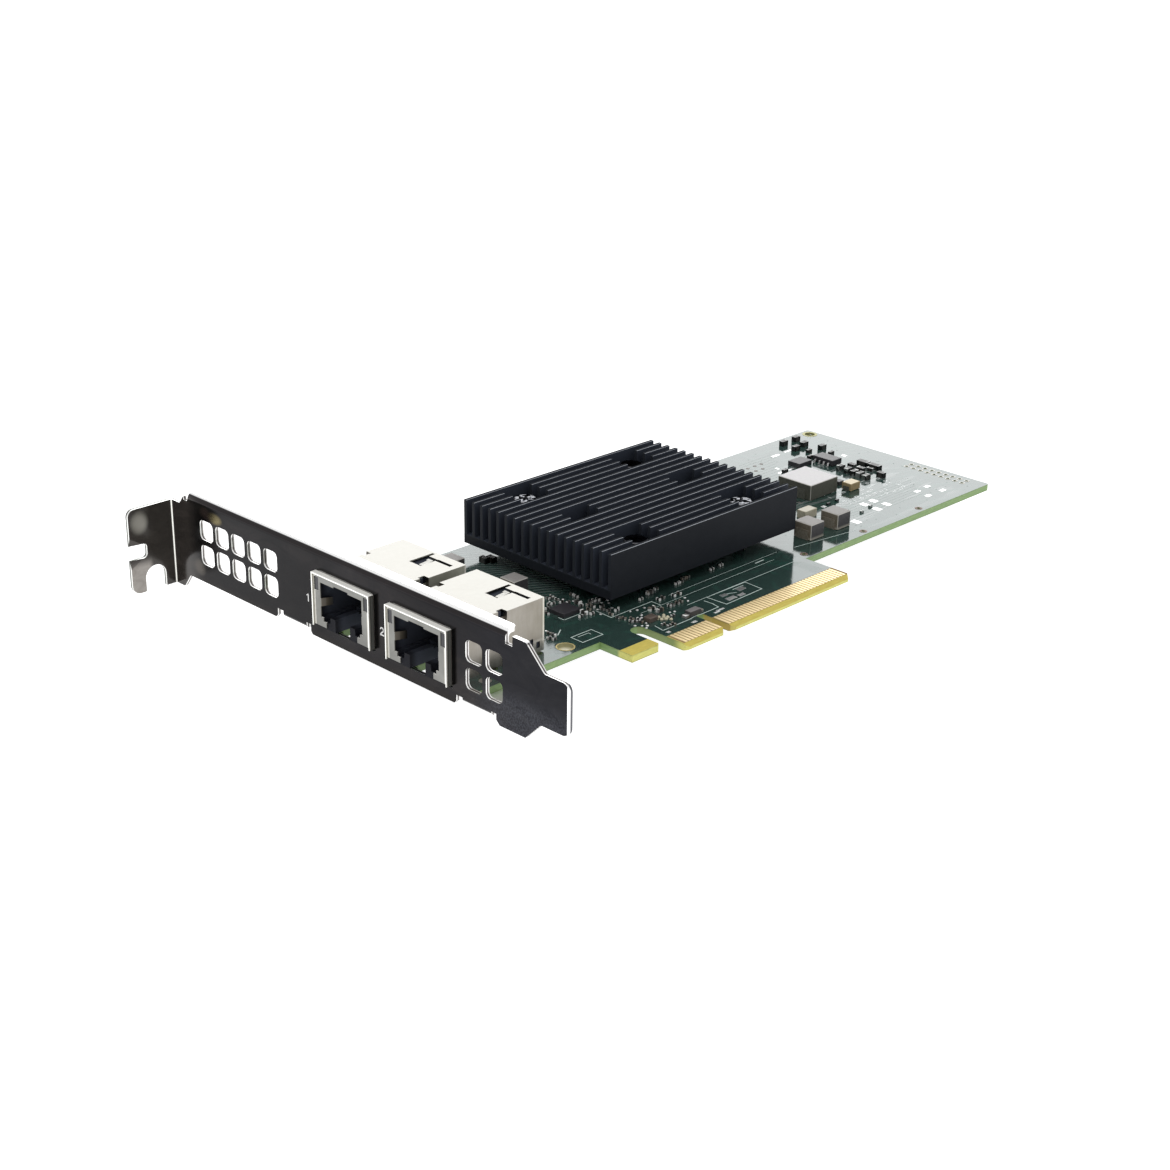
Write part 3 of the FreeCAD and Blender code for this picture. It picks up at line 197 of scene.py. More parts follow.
# ------------------------------------------------------------------ materials
def board_material():
    g = G("board_soldermask")
    face = g.nz.abs().gt(0.9, 0.05)
    # Copper under the mask shows as slightly lighter runs and pours.
    fine = g.noise(0.9, 3.0, 0.6)
    pour = g.noise(0.09, 2.0, 0.5, distort=1.5)
    warp = g.noise(0.07, 1.0, 0.5) * 9.0
    lanes = ((g.x * 0.35 + g.y * 0.9 + warp) * 1.9).sin()
    lanes2 = ((g.x * 1.0 - g.y * 0.25 + warp) * 1.55).sin()
    runs = lanes.gt(0.55, 0.18) * pour.gt(0.52, 0.04) + lanes2.gt(0.6, 0.15) * pour.lt(0.42, 0.03)
    green = g.ramp(fine, [(0.3, (0.0180, 0.0370, 0.0325)), (0.7, (0.0235, 0.0465, 0.0405))])
    green = g.mix(runs * 0.38, green, (0.024, 0.072, 0.056))
    # Close bundles of copper between the jacks and the sink.
    bundle = ((g.x * 0.55 + g.y * 0.85 + warp * 0.4) * 5.2).sin().gt(0.15, 0.35)
    bundle = bundle * g.x.between(-34.0, -4.0, 1.5) * g.y.gt(36.0, 3.0)
    green = g.mix(bundle * 0.6, green, (0.120, 0.145, 0.138))
    wide = g.noise(0.5, 2.0, 0.5, vec=g.stretch(0.11, 0.75, 1.0)).gt(0.56, 0.03)
    wide = wide * g.x.between(62.0, 100.0, 2.0) * g.y.between(15.0, 56.0, 2.0)
    green = g.mix(wide * 0.55, green, (0.150, 0.165, 0.165))
    # Bare laminate: the hook's tongue, and round the contacts.
    grain = g.noise(2.2, 3.0, 0.6, vec=g.stretch(0.25, 1.6, 1.0))
    bare = g.ramp(grain, [(0.25, (0.42, 0.335, 0.045)), (0.75, (0.55, 0.45, 0.075))])
    hook = g.y.lt(7.55, 0.06) * g.x.between(-25.0, -15.0, 0.1)
    blade = g.y.lt(5.75, 0.05) * g.x.between(-13.2, 40.2, 0.1)
    bared = hook.max(blade)
    # Between the gold fingers the laminate is brown and lies in their shade.
    gaps = blade * g.y.gt(1.25, 0.05) * g.x.gt(-12.4, 0.1)
    bare = g.mix(gaps, bare, (0.230, 0.140, 0.045))
    flat = g.mix(bared, green, bare)
    # Sawn edge: glass fibre with a thin line of mask along both faces.
    layers = ((g.z * 11.0).sin() * 0.5 + 0.5)
    edge = g.ramp(g.noise(1.4, 3.0, 0.6, vec=g.stretch(0.4, 0.4, 2.0)),
                  [(0.25, (0.125, 0.215, 0.066)), (0.75, (0.20, 0.305, 0.105))])
    edge = g.mix(layers * 0.16, edge, (0.26, 0.36, 0.15))
    yellow = g.ramp(grain, [(0.25, (0.47, 0.450, 0.105)), (0.75, (0.62, 0.605, 0.180))])
    low = g.y.lt(7.9, 0.5) * g.x.between(-26.0, 40.6, 0.3)
    edge = g.mix(low, edge, yellow)
    edge = g.mix(low * g.nx.lt(-0.7, 0.1) * g.x.gt(-12.0, 0.2), edge, (0.36, 0.26, 0.055))
    edge = g.mix(g.nx.lt(-0.5, 0.1) * g.x.between(-13.4, -12.1, 0.1) * g.y.step(1.2, 4.2), edge, (0.175, 0.225, 0.075))
    # The sawn edge darkens towards both faces.
    edge = g.mix((g.z + 0.78).abs().step(0.45, 0.80) * 0.45, edge, (0.085, 0.105, 0.040))
    # Plated wall of the hole by the foot.
    wall = g.x.between(-32.6, -28.4, 0.1) * g.y.between(14.0, 18.0, 0.1)
    edge = g.mix(wall, edge, g.ramp(g.z + 1.6, [(0.0, (0.80, 0.80, 0.74)), (0.45, (0.62, 0.58, 0.42)), (0.9, (0.26, 0.235, 0.105))]))
    edge = g.mix(g.x.between(105.0, 108.6, 0.1) * g.y.between(64.6, 67.8, 0.1), edge, (0.170, 0.165, 0.055))
    col = g.mix(face, edge, flat)
    g.set("Base", col)
    shine = face * bared.inv()
    g.set("Roughness", (shine * -0.47) + 0.55 + (bared * 0.25) + (g.noise(0.5, 2.0, 0.5) * 0.03))
    g.set("Specular", 0.48)
    g.set("Specular Tint", (0.90, 1.0, 0.995))
    g.set("IOR", 1.62)
    g.bump(runs * 0.35 + g.noise(0.45, 2.0, 0.5) * 0.5 + fine * 0.12, 0.35, 0.00002)
    return g.m


def bracket_material():
    """Bright nickel over sheet steel: near black on the rolled faces, a painted reflection of a dark room; white on the
    sheared edges, partly a painted highlight.
    """
    g = G("bracket_nickel", Metallic=1.0)
    broad = g.noise(0.028, 2.0, 0.5, vec=g.stretch(1.0, 1.0, 2.8), distort=0.6)
    smear = g.noise(0.30, 4.0, 0.65, vec=g.stretch(1.0, 0.5, 1.2), distort=1.2)
    hair = g.noise(1.0, 2.0, 0.6, vec=g.stretch(1.0, 0.12, 5.0))
    speck = g.noise(2.6, 3.0, 0.7)
    f = broad * 0.58 + smear * 0.32 + hair * 0.10
    # Painted reflection: the faces' near-black base stands in for the dark room they mirror.
    dark = g.ramp(f, [(0.30, (0.0105, 0.0102, 0.0125)), (0.45, (0.0165, 0.0158, 0.0180)),
                      (0.56, (0.0250, 0.0228, 0.0240)), (0.72, (0.0480, 0.0420, 0.0400))])
    # Cooler and more handled towards the tongue.
    tail = g.y.step(16.0, 2.0)
    rubbed = tail * g.z.lt(3.2, 2.4) * speck.gt(0.50, 0.12)
    dark = g.mix(tail * 0.7, dark, g.ramp(smear, [(0.3, (0.0130, 0.0138, 0.0180)), (0.7, (0.0290, 0.0298, 0.0350))]))
    dark = g.mix(rubbed * 0.33, dark, (0.095, 0.100, 0.118))
    # Painted reflection: darker still towards the tongue end and the top.
    dark = g.mix(g.y.step(48.0, 22.0) * g.z.step(2.0, 8.0) * 0.55, dark, (0.0085, 0.0085, 0.0105))
    # Above the ports and vents it mirrors the dark room.
    dark = g.mix(g.y.step(46.0, 58.0) * g.nx.abs().gt(0.8, 0.1) * 0.62, dark, (0.0060, 0.0058, 0.0060))
    dark = g.mix(g.y.between(17.0, 46.0, 5.0) * g.nx.abs().gt(0.8, 0.1) * 0.34, dark, (0.0060, 0.0060, 0.0068))
    # Paler runs in the painted reflection: just below the bend, and along the lower edge.
    high = g.z.between(11.6, 13.9, 1.0) * smear.gt(0.44, 0.14) * g.y.gt(30.0, 6.0)
    dark = g.mix(high * 0.35, dark, (0.022, 0.019, 0.020))
    lower = g.z.step(-1.3, -3.0) * g.y.gt(17.0, 1.0) * g.nx.abs().gt(0.8, 0.1)
    dark = g.mix(lower * 0.45, dark, (0.020, 0.017, 0.015))
    # Painted reflections in soft patches: one above the far vents, one beside them, one on the seat.
    def spot(yc, zc, ry, rz, a, b):
        q = ((g.y - yc) / ry).power(2.0) + ((g.z - zc) / rz).power(2.0)
        return q.step(a, b)
    onface = g.nx.abs().gt(0.8, 0.1)
    dark = g.mix(spot(92.0, 12.6, 3.0, 1.5, 1.0, 0.0) * onface * 0.75, dark, (0.215, 0.180, 0.085))
    dark = g.mix(spot(95.2, 12.9, 2.4, 1.6, 1.0, 0.0) * onface * 0.40, dark, (0.130, 0.085, 0.075))
    dark = g.mix(spot(98.4, 0.0, 2.6, 2.2, 1.0, 0.0) * onface * 0.55, dark, (0.130, 0.115, 0.100))
    # Painted reflection: a pale patch on the seat.
    qs = ((g.x + 66.3) / 2.4).power(2.0) + ((g.z - 9.6) / 2.9).power(2.0)
    onseat = g.ny.abs().gt(0.8, 0.1) * g.x.lt(-58.2, 0.1) * g.y.gt(106.0, 0.2)
    nearfold = onface * g.y.step(96.5, 103.0)
    dark = g.mix(nearfold * 0.8, dark, g.ramp(smear, [(0.35, (0.024, 0.0200, 0.0170)), (0.65, (0.043, 0.036, 0.031))]))
    dark = g.mix(onseat * 0.9, dark, g.ramp(f, [(0.35, (0.026, 0.0225, 0.0190)), (0.65, (0.050, 0.044, 0.038))]))
    dark = g.mix(qs.step(1.15, 0.0) * onseat * 0.85, dark, (0.245, 0.235, 0.205))
    leg = g.z.step(1.6, -0.6) * g.x.step(-63.3, -64.6) * onseat
    dark = g.mix(leg, dark, g.ramp(smear, [(0.3, (0.225, 0.205, 0.185)), (0.7, (0.315, 0.295, 0.270))]))
    # Bend along the top, painted by how far each face turns upward: a dull band of painted shade, then white where it
    # has turned level, a painted highlight.
    dark = g.mix(g.nz.step(0.10, 0.40) * 0.5, dark, (0.055, 0.049, 0.050))
    dark = g.mix(g.nz.step(0.72, 0.80), dark, (1.0, 1.0, 1.0))
    # Fold to the seat: a pale painted highlight on the curve of the bend.
    fold = g.ny.abs().step(0.40, 0.62) * g.ny.abs().step(0.95, 0.84) * g.x.gt(-58.6, 0.05) * g.y.gt(106.0, 0.2)
    dark = g.mix(fold, dark, (0.80, 0.79, 0.74))
    # Sheared edges show a bright roll-over, a dull torn band, then bright again; the white of the bright parts is
    # partly a painted highlight.
    dx = (g.x + 58.0) / 0.86
    dy = (g.y - 107.4) / 0.86
    face_rim = g.ramp(dx, [(0.0, (0.95, 0.95, 0.94)), (0.28, (0.93, 0.93, 0.91)), (0.36, (0.100, 0.085, 0.085)),
                           (0.64, (0.095, 0.080, 0.080)), (0.76, (0.72, 0.71, 0.70)), (0.97, (0.80, 0.79, 0.78))])
    seat_rim = g.ramp(dy, [(0.0, (0.90, 0.90, 0.88)), (0.40, (0.88, 0.88, 0.86)),
                           (0.52, (0.13, 0.14, 0.12)), (1.0, (0.095, 0.105, 0.090))])
    rim_y = g.ny.abs().gt(0.7, 0.1) * g.y.lt(107.0, 0.1)
    rim_z = g.nz.abs().gt(0.55, 0.1) * g.z.lt(15.0, 0.1)
    corner = g.nx.abs().lt(0.72, 0.08) * g.y.lt(106.6, 0.1) * g.z.lt(14.3, 0.1)
    rim = rim_y.max(rim_z).max(corner)
    # The same partly painted highlight on the tongue's end and along the seat's edges.
    tail_end = g.y.lt(-12.0, 0.1) * g.nx.abs().lt(0.9, 0.05)
    col = g.mix(rim, dark, face_rim)
    col = g.mix(tail_end, col, g.ramp(dx, [(0.0, (0.95, 0.95, 0.95)), (0.42, (0.95, 0.95, 0.95)),
                                            (0.50, (0.17, 0.17, 0.18)), (0.80, (0.10, 0.10, 0.11)), (1.0, (0.15, 0.15, 0.16))]))
    srim = g.ny.abs().lt(0.5, 0.15) * g.x.lt(-58.6, 0.1)
    col = g.mix(srim, col, seat_rim)
    g.set("Base", col)
    # Where the face mirrors the dark seat, and the seat the face, both are made mostly non-metallic, so the tones
    # painted on them show.
    g.set("Metallic", ((onseat * 0.75).max(nearfold * 0.75) * rim.inv()).inv())
    g.set("Roughness", rim * 0.25 + smear * 0.14 + 0.10)
    g.bump(smear * 0.6 + hair * 0.25 + speck * 0.15, 0.16, 0.00003)
    return g.m


def tin_material(port):
    g = G("jack_tin", Metallic=1.0)
    brush = g.noise(1.1, 3.0, 0.6, vec=g.stretch(1.0, 1.0, 0.18))
    stain = g.noise(0.18, 3.0, 0.6)
    f = brush * 0.35 + stain * 0.65
    side = g.ramp(f, [(0.25, (0.225, 0.205, 0.175)), (0.5, (0.290, 0.270, 0.240)), (0.75, (0.36, 0.340, 0.310))])
    skirt = g.z.lt(3.0, 0.25) * g.x.gt(-45.0, 0.1)
    side = g.mix(skirt * 0.55, side, (0.56, 0.54, 0.50))
    roof = g.ramp(f, [(0.25, (0.280, 0.274, 0.250)), (0.75, (0.375, 0.369, 0.345))])
    between = g.ny.lt(-0.5, 0.2) * g.x.between(-57.0, -34.0, 0.5)
    if port > 40.0:
        side = g.mix(between, side, g.ramp(f, [(0.25, (0.30, 0.30, 0.25)), (0.75, (0.46, 0.46, 0.39))]))
    col = g.mix(g.nz.gt(0.5, 0.2), side, roof)
    dy = (g.y - port).abs()
    front = g.nx.lt(-0.6, 0.2)
    plate = front * g.x.between(-59.15, -58.6, 0.05)
    col = g.mix(plate, col, g.ramp(stain, [(0.3, (0.180, 0.180, 0.170)), (0.7, (0.265, 0.265, 0.250))]))
    hem = plate * dy.gt(7.95, 0.12)
    col = g.mix(hem, col, (0.66, 0.65, 0.60))
    # Painted highlight: the front lip painted white.
    lip = front * g.x.lt(-59.2, 0.04)
    col = g.mix(lip, col, (1.0, 1.0, 0.96))
    # Painted highlight: the upward band in front of the bracket painted cream-white.
    band = g.nz.gt(0.5, 0.2) * g.x.lt(-58.0, 0.05)
    col = g.mix(band, col, (1.0, 0.99, 0.94))
    # Painted highlight and shade on the cheek facing -Y: a cream strip, a thin painted dark line, then darker.
    cheek = g.ny.lt(-0.5, 0.2) * g.x.lt(-58.0, 0.1)
    col = g.mix(cheek, col, g.ramp((g.x + 59.3) / 1.3, [(0.0, (0.66, 0.64, 0.58)), (0.26, (0.22, 0.215, 0.190)),
                                                       (0.40, (0.045, 0.043, 0.040)), (0.60, (0.125, 0.125, 0.112)), (1.0, (0.085, 0.083, 0.076))]))
    # Painted shade: the leaf darkens towards the back of the opening.
    leaf = g.x.between(-58.9, -56.6, 0.05) * dy.lt(6.75, 0.05) * g.z.between(4.5, 6.4, 0.05)
    col = g.mix(leaf, col, g.ramp((g.x + 59.0) / 2.3, [(0.0, (0.105, 0.090, 0.070)), (0.6, (0.060, 0.052, 0.040)), (1.0, (0.010, 0.010, 0.010))]))
    rear_edge = g.x.gt(-35.3, 0.1) * g.ny.abs().gt(0.6, 0.2)
    col = g.mix(rear_edge * 0.7, col, (0.78, 0.76, 0.71))
    rear = g.nx.gt(0.6, 0.2)
    col = g.mix(rear, col, g.ramp(f, [(0.3, (0.42, 0.41, 0.39)), (0.7, (0.55, 0.54, 0.52))]))
    g.set("Base", col)
    # Less metallic on the band and the cheek, so their painted light shows, and on port 1 also on the faces between the
    # ports.
    dull = (band * 0.85).max(cheek * 0.65)
    if port > 40.0:
        dull = dull.max(between * 0.6)
    g.set("Metallic", dull.inv())
    g.set("Roughness", brush * 0.12 + stain * 0.16 + 0.22)
    g.bump(brush * 0.6 + stain, 0.25, 0.00003)
    return g.m


def simple(name, stops, scale=1.0, detail=3.0, rough=0.5, rvar=0.1, metal=0.0, spec=0.5, bump=0.2,
           dist=0.00002, vec=None, edge=None, edge_at=(0.08, 0.35), top=None):
    """Mottled material. edge paints a highlight on rounded edges, top gives upward faces a tone of their own as painted
    light.
    """
    g = G(name, Metallic=metal)
    v = g.stretch(*vec) if vec else None
    f = g.noise(scale, detail, 0.6, vec=v)
    grain = g.noise(scale * 6.0, 2.0, 0.6, vec=v)
    col = g.ramp(f * 0.7 + grain * 0.3, stops)
    # Painted light: upward faces recoloured.
    if top:
        col = g.mix(g.nz.gt(0.8, 0.15), col, top)
    # Painted highlight on rounded edges.
    if edge:
        biggest = g.nx.abs().max(g.ny.abs()).max(g.nz.abs())
        col = g.mix(biggest.inv().step(*edge_at), col, edge)
    g.set("Base", col)
    g.set("Roughness", f * rvar + (rough - rvar / 2))
    g.set("Specular", spec)
    g.bump(f * 0.5 + grain * 0.5, bump, dist)
    return g.m


def housing_material():
    """Black moulding, painted a little paler and bluer from just behind its front face, as painted light inside the
    openings where plugs slide in.
    """
    g = G("black_moulding")
    f = g.noise(1.0, 3.0, 0.6)
    grain = g.noise(6.0, 2.0, 0.6)
    col = g.ramp(f * 0.7 + grain * 0.3, [(0.3, (0.0085, 0.0088, 0.0122)), (0.7, (0.0130, 0.0138, 0.0180))])
    col = g.mix(g.x.step(-58.4, -56.4) * 0.9, col, (0.044, 0.050, 0.066))
    g.set("Base", col)
    g.set("Roughness", f * 0.1 + 0.45)
    g.set("Specular", 0.06)
    g.bump(f * 0.5 + grain * 0.5, 0.2, 0.00002)
    return g.m


def sink_material():
    g = G("sink_black")
    f = g.noise(0.5, 4.0, 0.6)
    grain = g.noise(5.0, 2.0, 0.6)
    draw = g.noise(1.4, 2.0, 0.6, vec=g.stretch(0.06, 1.0, 3.0))
    col = g.ramp(f * 0.5 + grain * 0.5, [(0.3, (0.0092, 0.0108, 0.0142)), (0.7, (0.0132, 0.0152, 0.0192))])
    # Fin tips catch the light only along the edge where the saw broke out.
    t = ((g.y - 21.1) / 2.54).frac() * 2.54
    crest = g.z.gt(12.80, 0.03)
    tip = crest * t.between(0.0, 0.15, 0.03)
    col = g.mix(tip, col, g.ramp(draw, [(0.3, (0.190, 0.206, 0.232)), (0.7, (0.345, 0.368, 0.402))]))
    # Painted light: the fin channels are painted a little paler, offsetting the shade down in them.
    deep = g.ny.abs().gt(0.5, 0.1) * g.y.between(21.5, 64.7, 0.1) * g.z.gt(5.0, 0.1)
    deep = deep.max(g.nz.gt(0.5, 0.1) * g.z.lt(6.0, 0.2))
    col = g.mix(deep, col, (0.034, 0.040, 0.054))
    ends = g.nx.abs().gt(0.5, 0.1) * g.z.gt(4.9, 0.1)
    col = g.mix(ends * 0.8, col, (0.0230, 0.0265, 0.0330))
    g.set("Base", col)
    g.set("Roughness", (grain * 0.12) + 0.40 + (crest * tip.inv() * 0.45))
    g.set("Specular", 0.06)
    g.bump(grain * 0.5 + draw * 0.5, 0.18, 0.00002)
    return g.m


def metal_end_material():
    """Tinned ends, with painted light: a painted highlight on top, the sides behind the sink painted dark as a
    reflection of a dark room, painted white glints all round in front of it.
    """
    g = G("tinned_end", Metallic=1.0)
    f = g.noise(2.5, 3.0, 0.6)
    bright = g.ramp(f, [(0.3, (0.085, 0.088, 0.088)), (0.7, (0.240, 0.245, 0.240))])
    dim_side = g.ramp(f, [(0.3, (0.018, 0.020, 0.020)), (0.7, (0.050, 0.052, 0.052))])
    rear = g.x.gt(60.0, 1.0).max(g.y.gt(50.0, 1.0))
    # Painted highlight: only some of the tops behind the sink are painted bright.
    painted_glint_cells = g.cells(1.1, what="Color").gt(0.62, 0.05)
    side = g.nz.lt(0.5, 0.2).max(painted_glint_cells.inv())
    # Painted highlights on a few sides at the rear.
    lit = g.cells(0.9, what="Color").gt(0.60, 0.04) * g.x.between(82.0, 97.0, 0.3) * g.y.between(22.0, 47.0, 0.3)
    dim_side = g.mix(lit * 0.9, dim_side, (0.33, 0.34, 0.33))
    pale = g.x.between(69.0, 78.0, 0.2) * g.y.between(20.0, 25.0, 0.2)
    dim_side = g.mix(pale, dim_side, (0.42, 0.44, 0.43))
    # Painted glints: in front of the sink the tops, and beyond y 15 all faces, are painted white.
    front = g.mix(g.nz.gt(0.5, 0.2), g.ramp(f, [(0.3, (0.075, 0.078, 0.076)), (0.7, (0.250, 0.255, 0.250))]), (0.90, 0.90, 0.88))
    front = g.mix(g.y.gt(15.0, 0.5), front, (0.92, 0.92, 0.90))
    dull = g.cells(0.8, what="Color").gt(0.50, 0.03)
    front = g.mix(dull * 0.85, front, g.mix(g.cells(0.5, what="Color").gt(0.5, 0.03), (0.060, 0.058, 0.052), (0.165, 0.125, 0.085)))
    g.set("Base", g.mix(rear, front, g.mix(side, bright, dim_side)))
    # In front of the sink there is only the dark sink to mirror, so the ends are made mostly non-metallic and their
    # painted white shows.
    g.set("Metallic", (rear.inv() * 0.85).inv())
    g.set("Roughness", f * 0.2 + 0.22)
    g.bump(f, 0.5, 0.00004)
    return g.m


def choke_material():
    """Pressed powder, painted with light and shade: pale on top, olive-brown towards the bracket, slate towards the
    connector.
    """
    g = G("inductor_powder")
    f = g.noise(1.6, 4.0, 0.6)
    grain = g.noise(7.0, 2.0, 0.6)
    m = f * 0.6 + grain * 0.4
    big = g.x.gt(66.0, 0.5) * g.y.gt(30.0, 0.5)
    left = g.ramp(m, [(0.3, (0.105, 0.090, 0.068)), (0.7, (0.190, 0.165, 0.130))])
    front = g.ramp(m, [(0.3, (0.034, 0.033, 0.036)), (0.7, (0.068, 0.066, 0.068))])
    olive = g.ramp(m, [(0.3, (0.055, 0.056, 0.044)), (0.7, (0.090, 0.092, 0.076))])
    side = g.mix(g.nx.lt(-0.6, 0.1), front, left)
    side = g.mix(big, side, olive)
    top = g.ramp(m, [(0.3, (0.190, 0.180, 0.172)), (0.7, (0.270, 0.258, 0.248))])
    top = g.mix(big, top, g.ramp(m, [(0.3, (0.46, 0.45, 0.455)), (0.7, (0.56, 0.55, 0.555))]))
    col = g.mix(g.nz.gt(0.8, 0.15), side, top)
    # Painted highlight on the rounded edges.
    biggest = g.nx.abs().max(g.ny.abs()).max(g.nz.abs())
    col = g.mix(biggest.inv().step(0.06, 0.25), col, (0.50, 0.49, 0.45))
    low = g.z.step(0.9, 0.3) * g.nz.lt(0.5, 0.1) * big.inv()
    col = g.mix(low * 0.6, col, (0.42, 0.40, 0.34))
    g.set("Base", col)
    g.set("Roughness", f * 0.15 + 0.42)
    g.set("Specular", 0.25)
    g.bump(f * 0.5 + grain * 0.5, 0.5, 0.00005)
    return g.m


def black_screw_material():
    g = G("black_screw", Metallic=1.0)
    f = g.noise(1.8, 3.0, 0.6)
    col = g.ramp(f, [(0.3, (0.010, 0.010, 0.013)), (0.7, (0.020, 0.020, 0.024))])
    # Painted highlights: a paler rim on every head, and on two of the heads a bright recess and bright patches on top.
    rim = g.z.gt(11.0, 0.1) * g.nz.step(0.93, 0.55) * g.nz.gt(0.15, 0.1)
    col = g.mix(rim, col, (0.13, 0.13, 0.14))
    recess = g.z.between(10.3, 11.32, 0.03)
    painted_glint_heads = (g.x.lt(10.0, 0.5) * g.y.gt(50.0, 0.5)).max(g.x.gt(20.0, 0.5) * g.y.lt(40.0, 0.5))
    patch = g.noise(0.9, 1.0, 0.5).gt(0.50, 0.05)
    top = g.z.gt(11.3, 0.05) * g.nz.gt(0.9, 0.05)
    col = g.mix(painted_glint_heads * (recess * 0.7).max(top * patch), col, (0.42, 0.43, 0.45))
    g.set("Base", col)
    g.set("Specular Tint", (0.15, 0.15, 0.16))
    g.set("Roughness", f * 0.2 + 0.25)
    g.bump(f, 0.4, 0.00003)
    return g.m


def ceramic_material(name, low, high):
    """Dark chip bodies; the two on the bare patch behind the chokes are pale."""
    g = G(name)
    f = g.noise(1.0, 3.0, 0.6)
    dark = g.ramp(f, [(0.3, low), (0.7, high)])
    pale = g.x.between(69.0, 78.0, 0.2) * g.y.between(20.0, 25.0, 0.2)
    g.set("Base", g.mix(pale, dark, (0.40, 0.42, 0.41)))
    g.set("Roughness", f * 0.1 + 0.36)
    g.bump(f, 0.2, 0.00002)
    return g.m


def choke_foot_material():
    """Tinned strip folded round the core, given nearly the core's painted side tone and little metallic sheen."""
    g = G("inductor_foot", Metallic=0.2)
    f = g.noise(2.2, 3.0, 0.6)
    big = g.x.gt(66.0, 0.5) * g.y.gt(30.0, 0.5)
    pale = g.ramp(f, [(0.3, (0.150, 0.132, 0.105)), (0.7, (0.250, 0.225, 0.185))])
    g.set("Base", g.mix(big, pale, g.ramp(f, [(0.3, (0.075, 0.076, 0.062)), (0.7, (0.125, 0.126, 0.108))])))
    g.set("Roughness", f * 0.2 + 0.38)
    g.set("Specular", 0.2)
    g.bump(f, 0.4, 0.00003)
    return g.m


def ring_material():
    """Gold on the near hole, olive at the far corner, brown along the lower edge, faint at the rear."""
    g = G("ring_gold", Metallic=1.0)
    f = g.noise(1.2, 3.0, 0.6)
    near = g.ramp(f, [(0.3, (0.30, 0.245, 0.095)), (0.7, (0.46, 0.385, 0.180))])
    olive = g.ramp(f, [(0.3, (0.150, 0.145, 0.045)), (0.7, (0.260, 0.250, 0.100))])
    brown = g.ramp(f, [(0.3, (0.060, 0.034, 0.024)), (0.7, (0.110, 0.066, 0.046))])
    faint = g.ramp(f, [(0.3, (0.26, 0.25, 0.23)), (0.7, (0.38, 0.37, 0.34))])
    col = g.mix(g.x.gt(30.0, 1.0) * g.y.gt(55.0, 1.0), near, olive)
    col = g.mix(g.x.gt(30.0, 1.0) * g.y.lt(16.0, 0.3), col, brown)
    col = g.mix(g.x.gt(94.0, 0.5) * g.y.between(16.6, 55.0, 0.3), col, faint)
    g.set("Base", col)
    g.set("Roughness", f * 0.15 + 0.32)
    g.bump(f, 0.3, 0.00003)
    return g.m


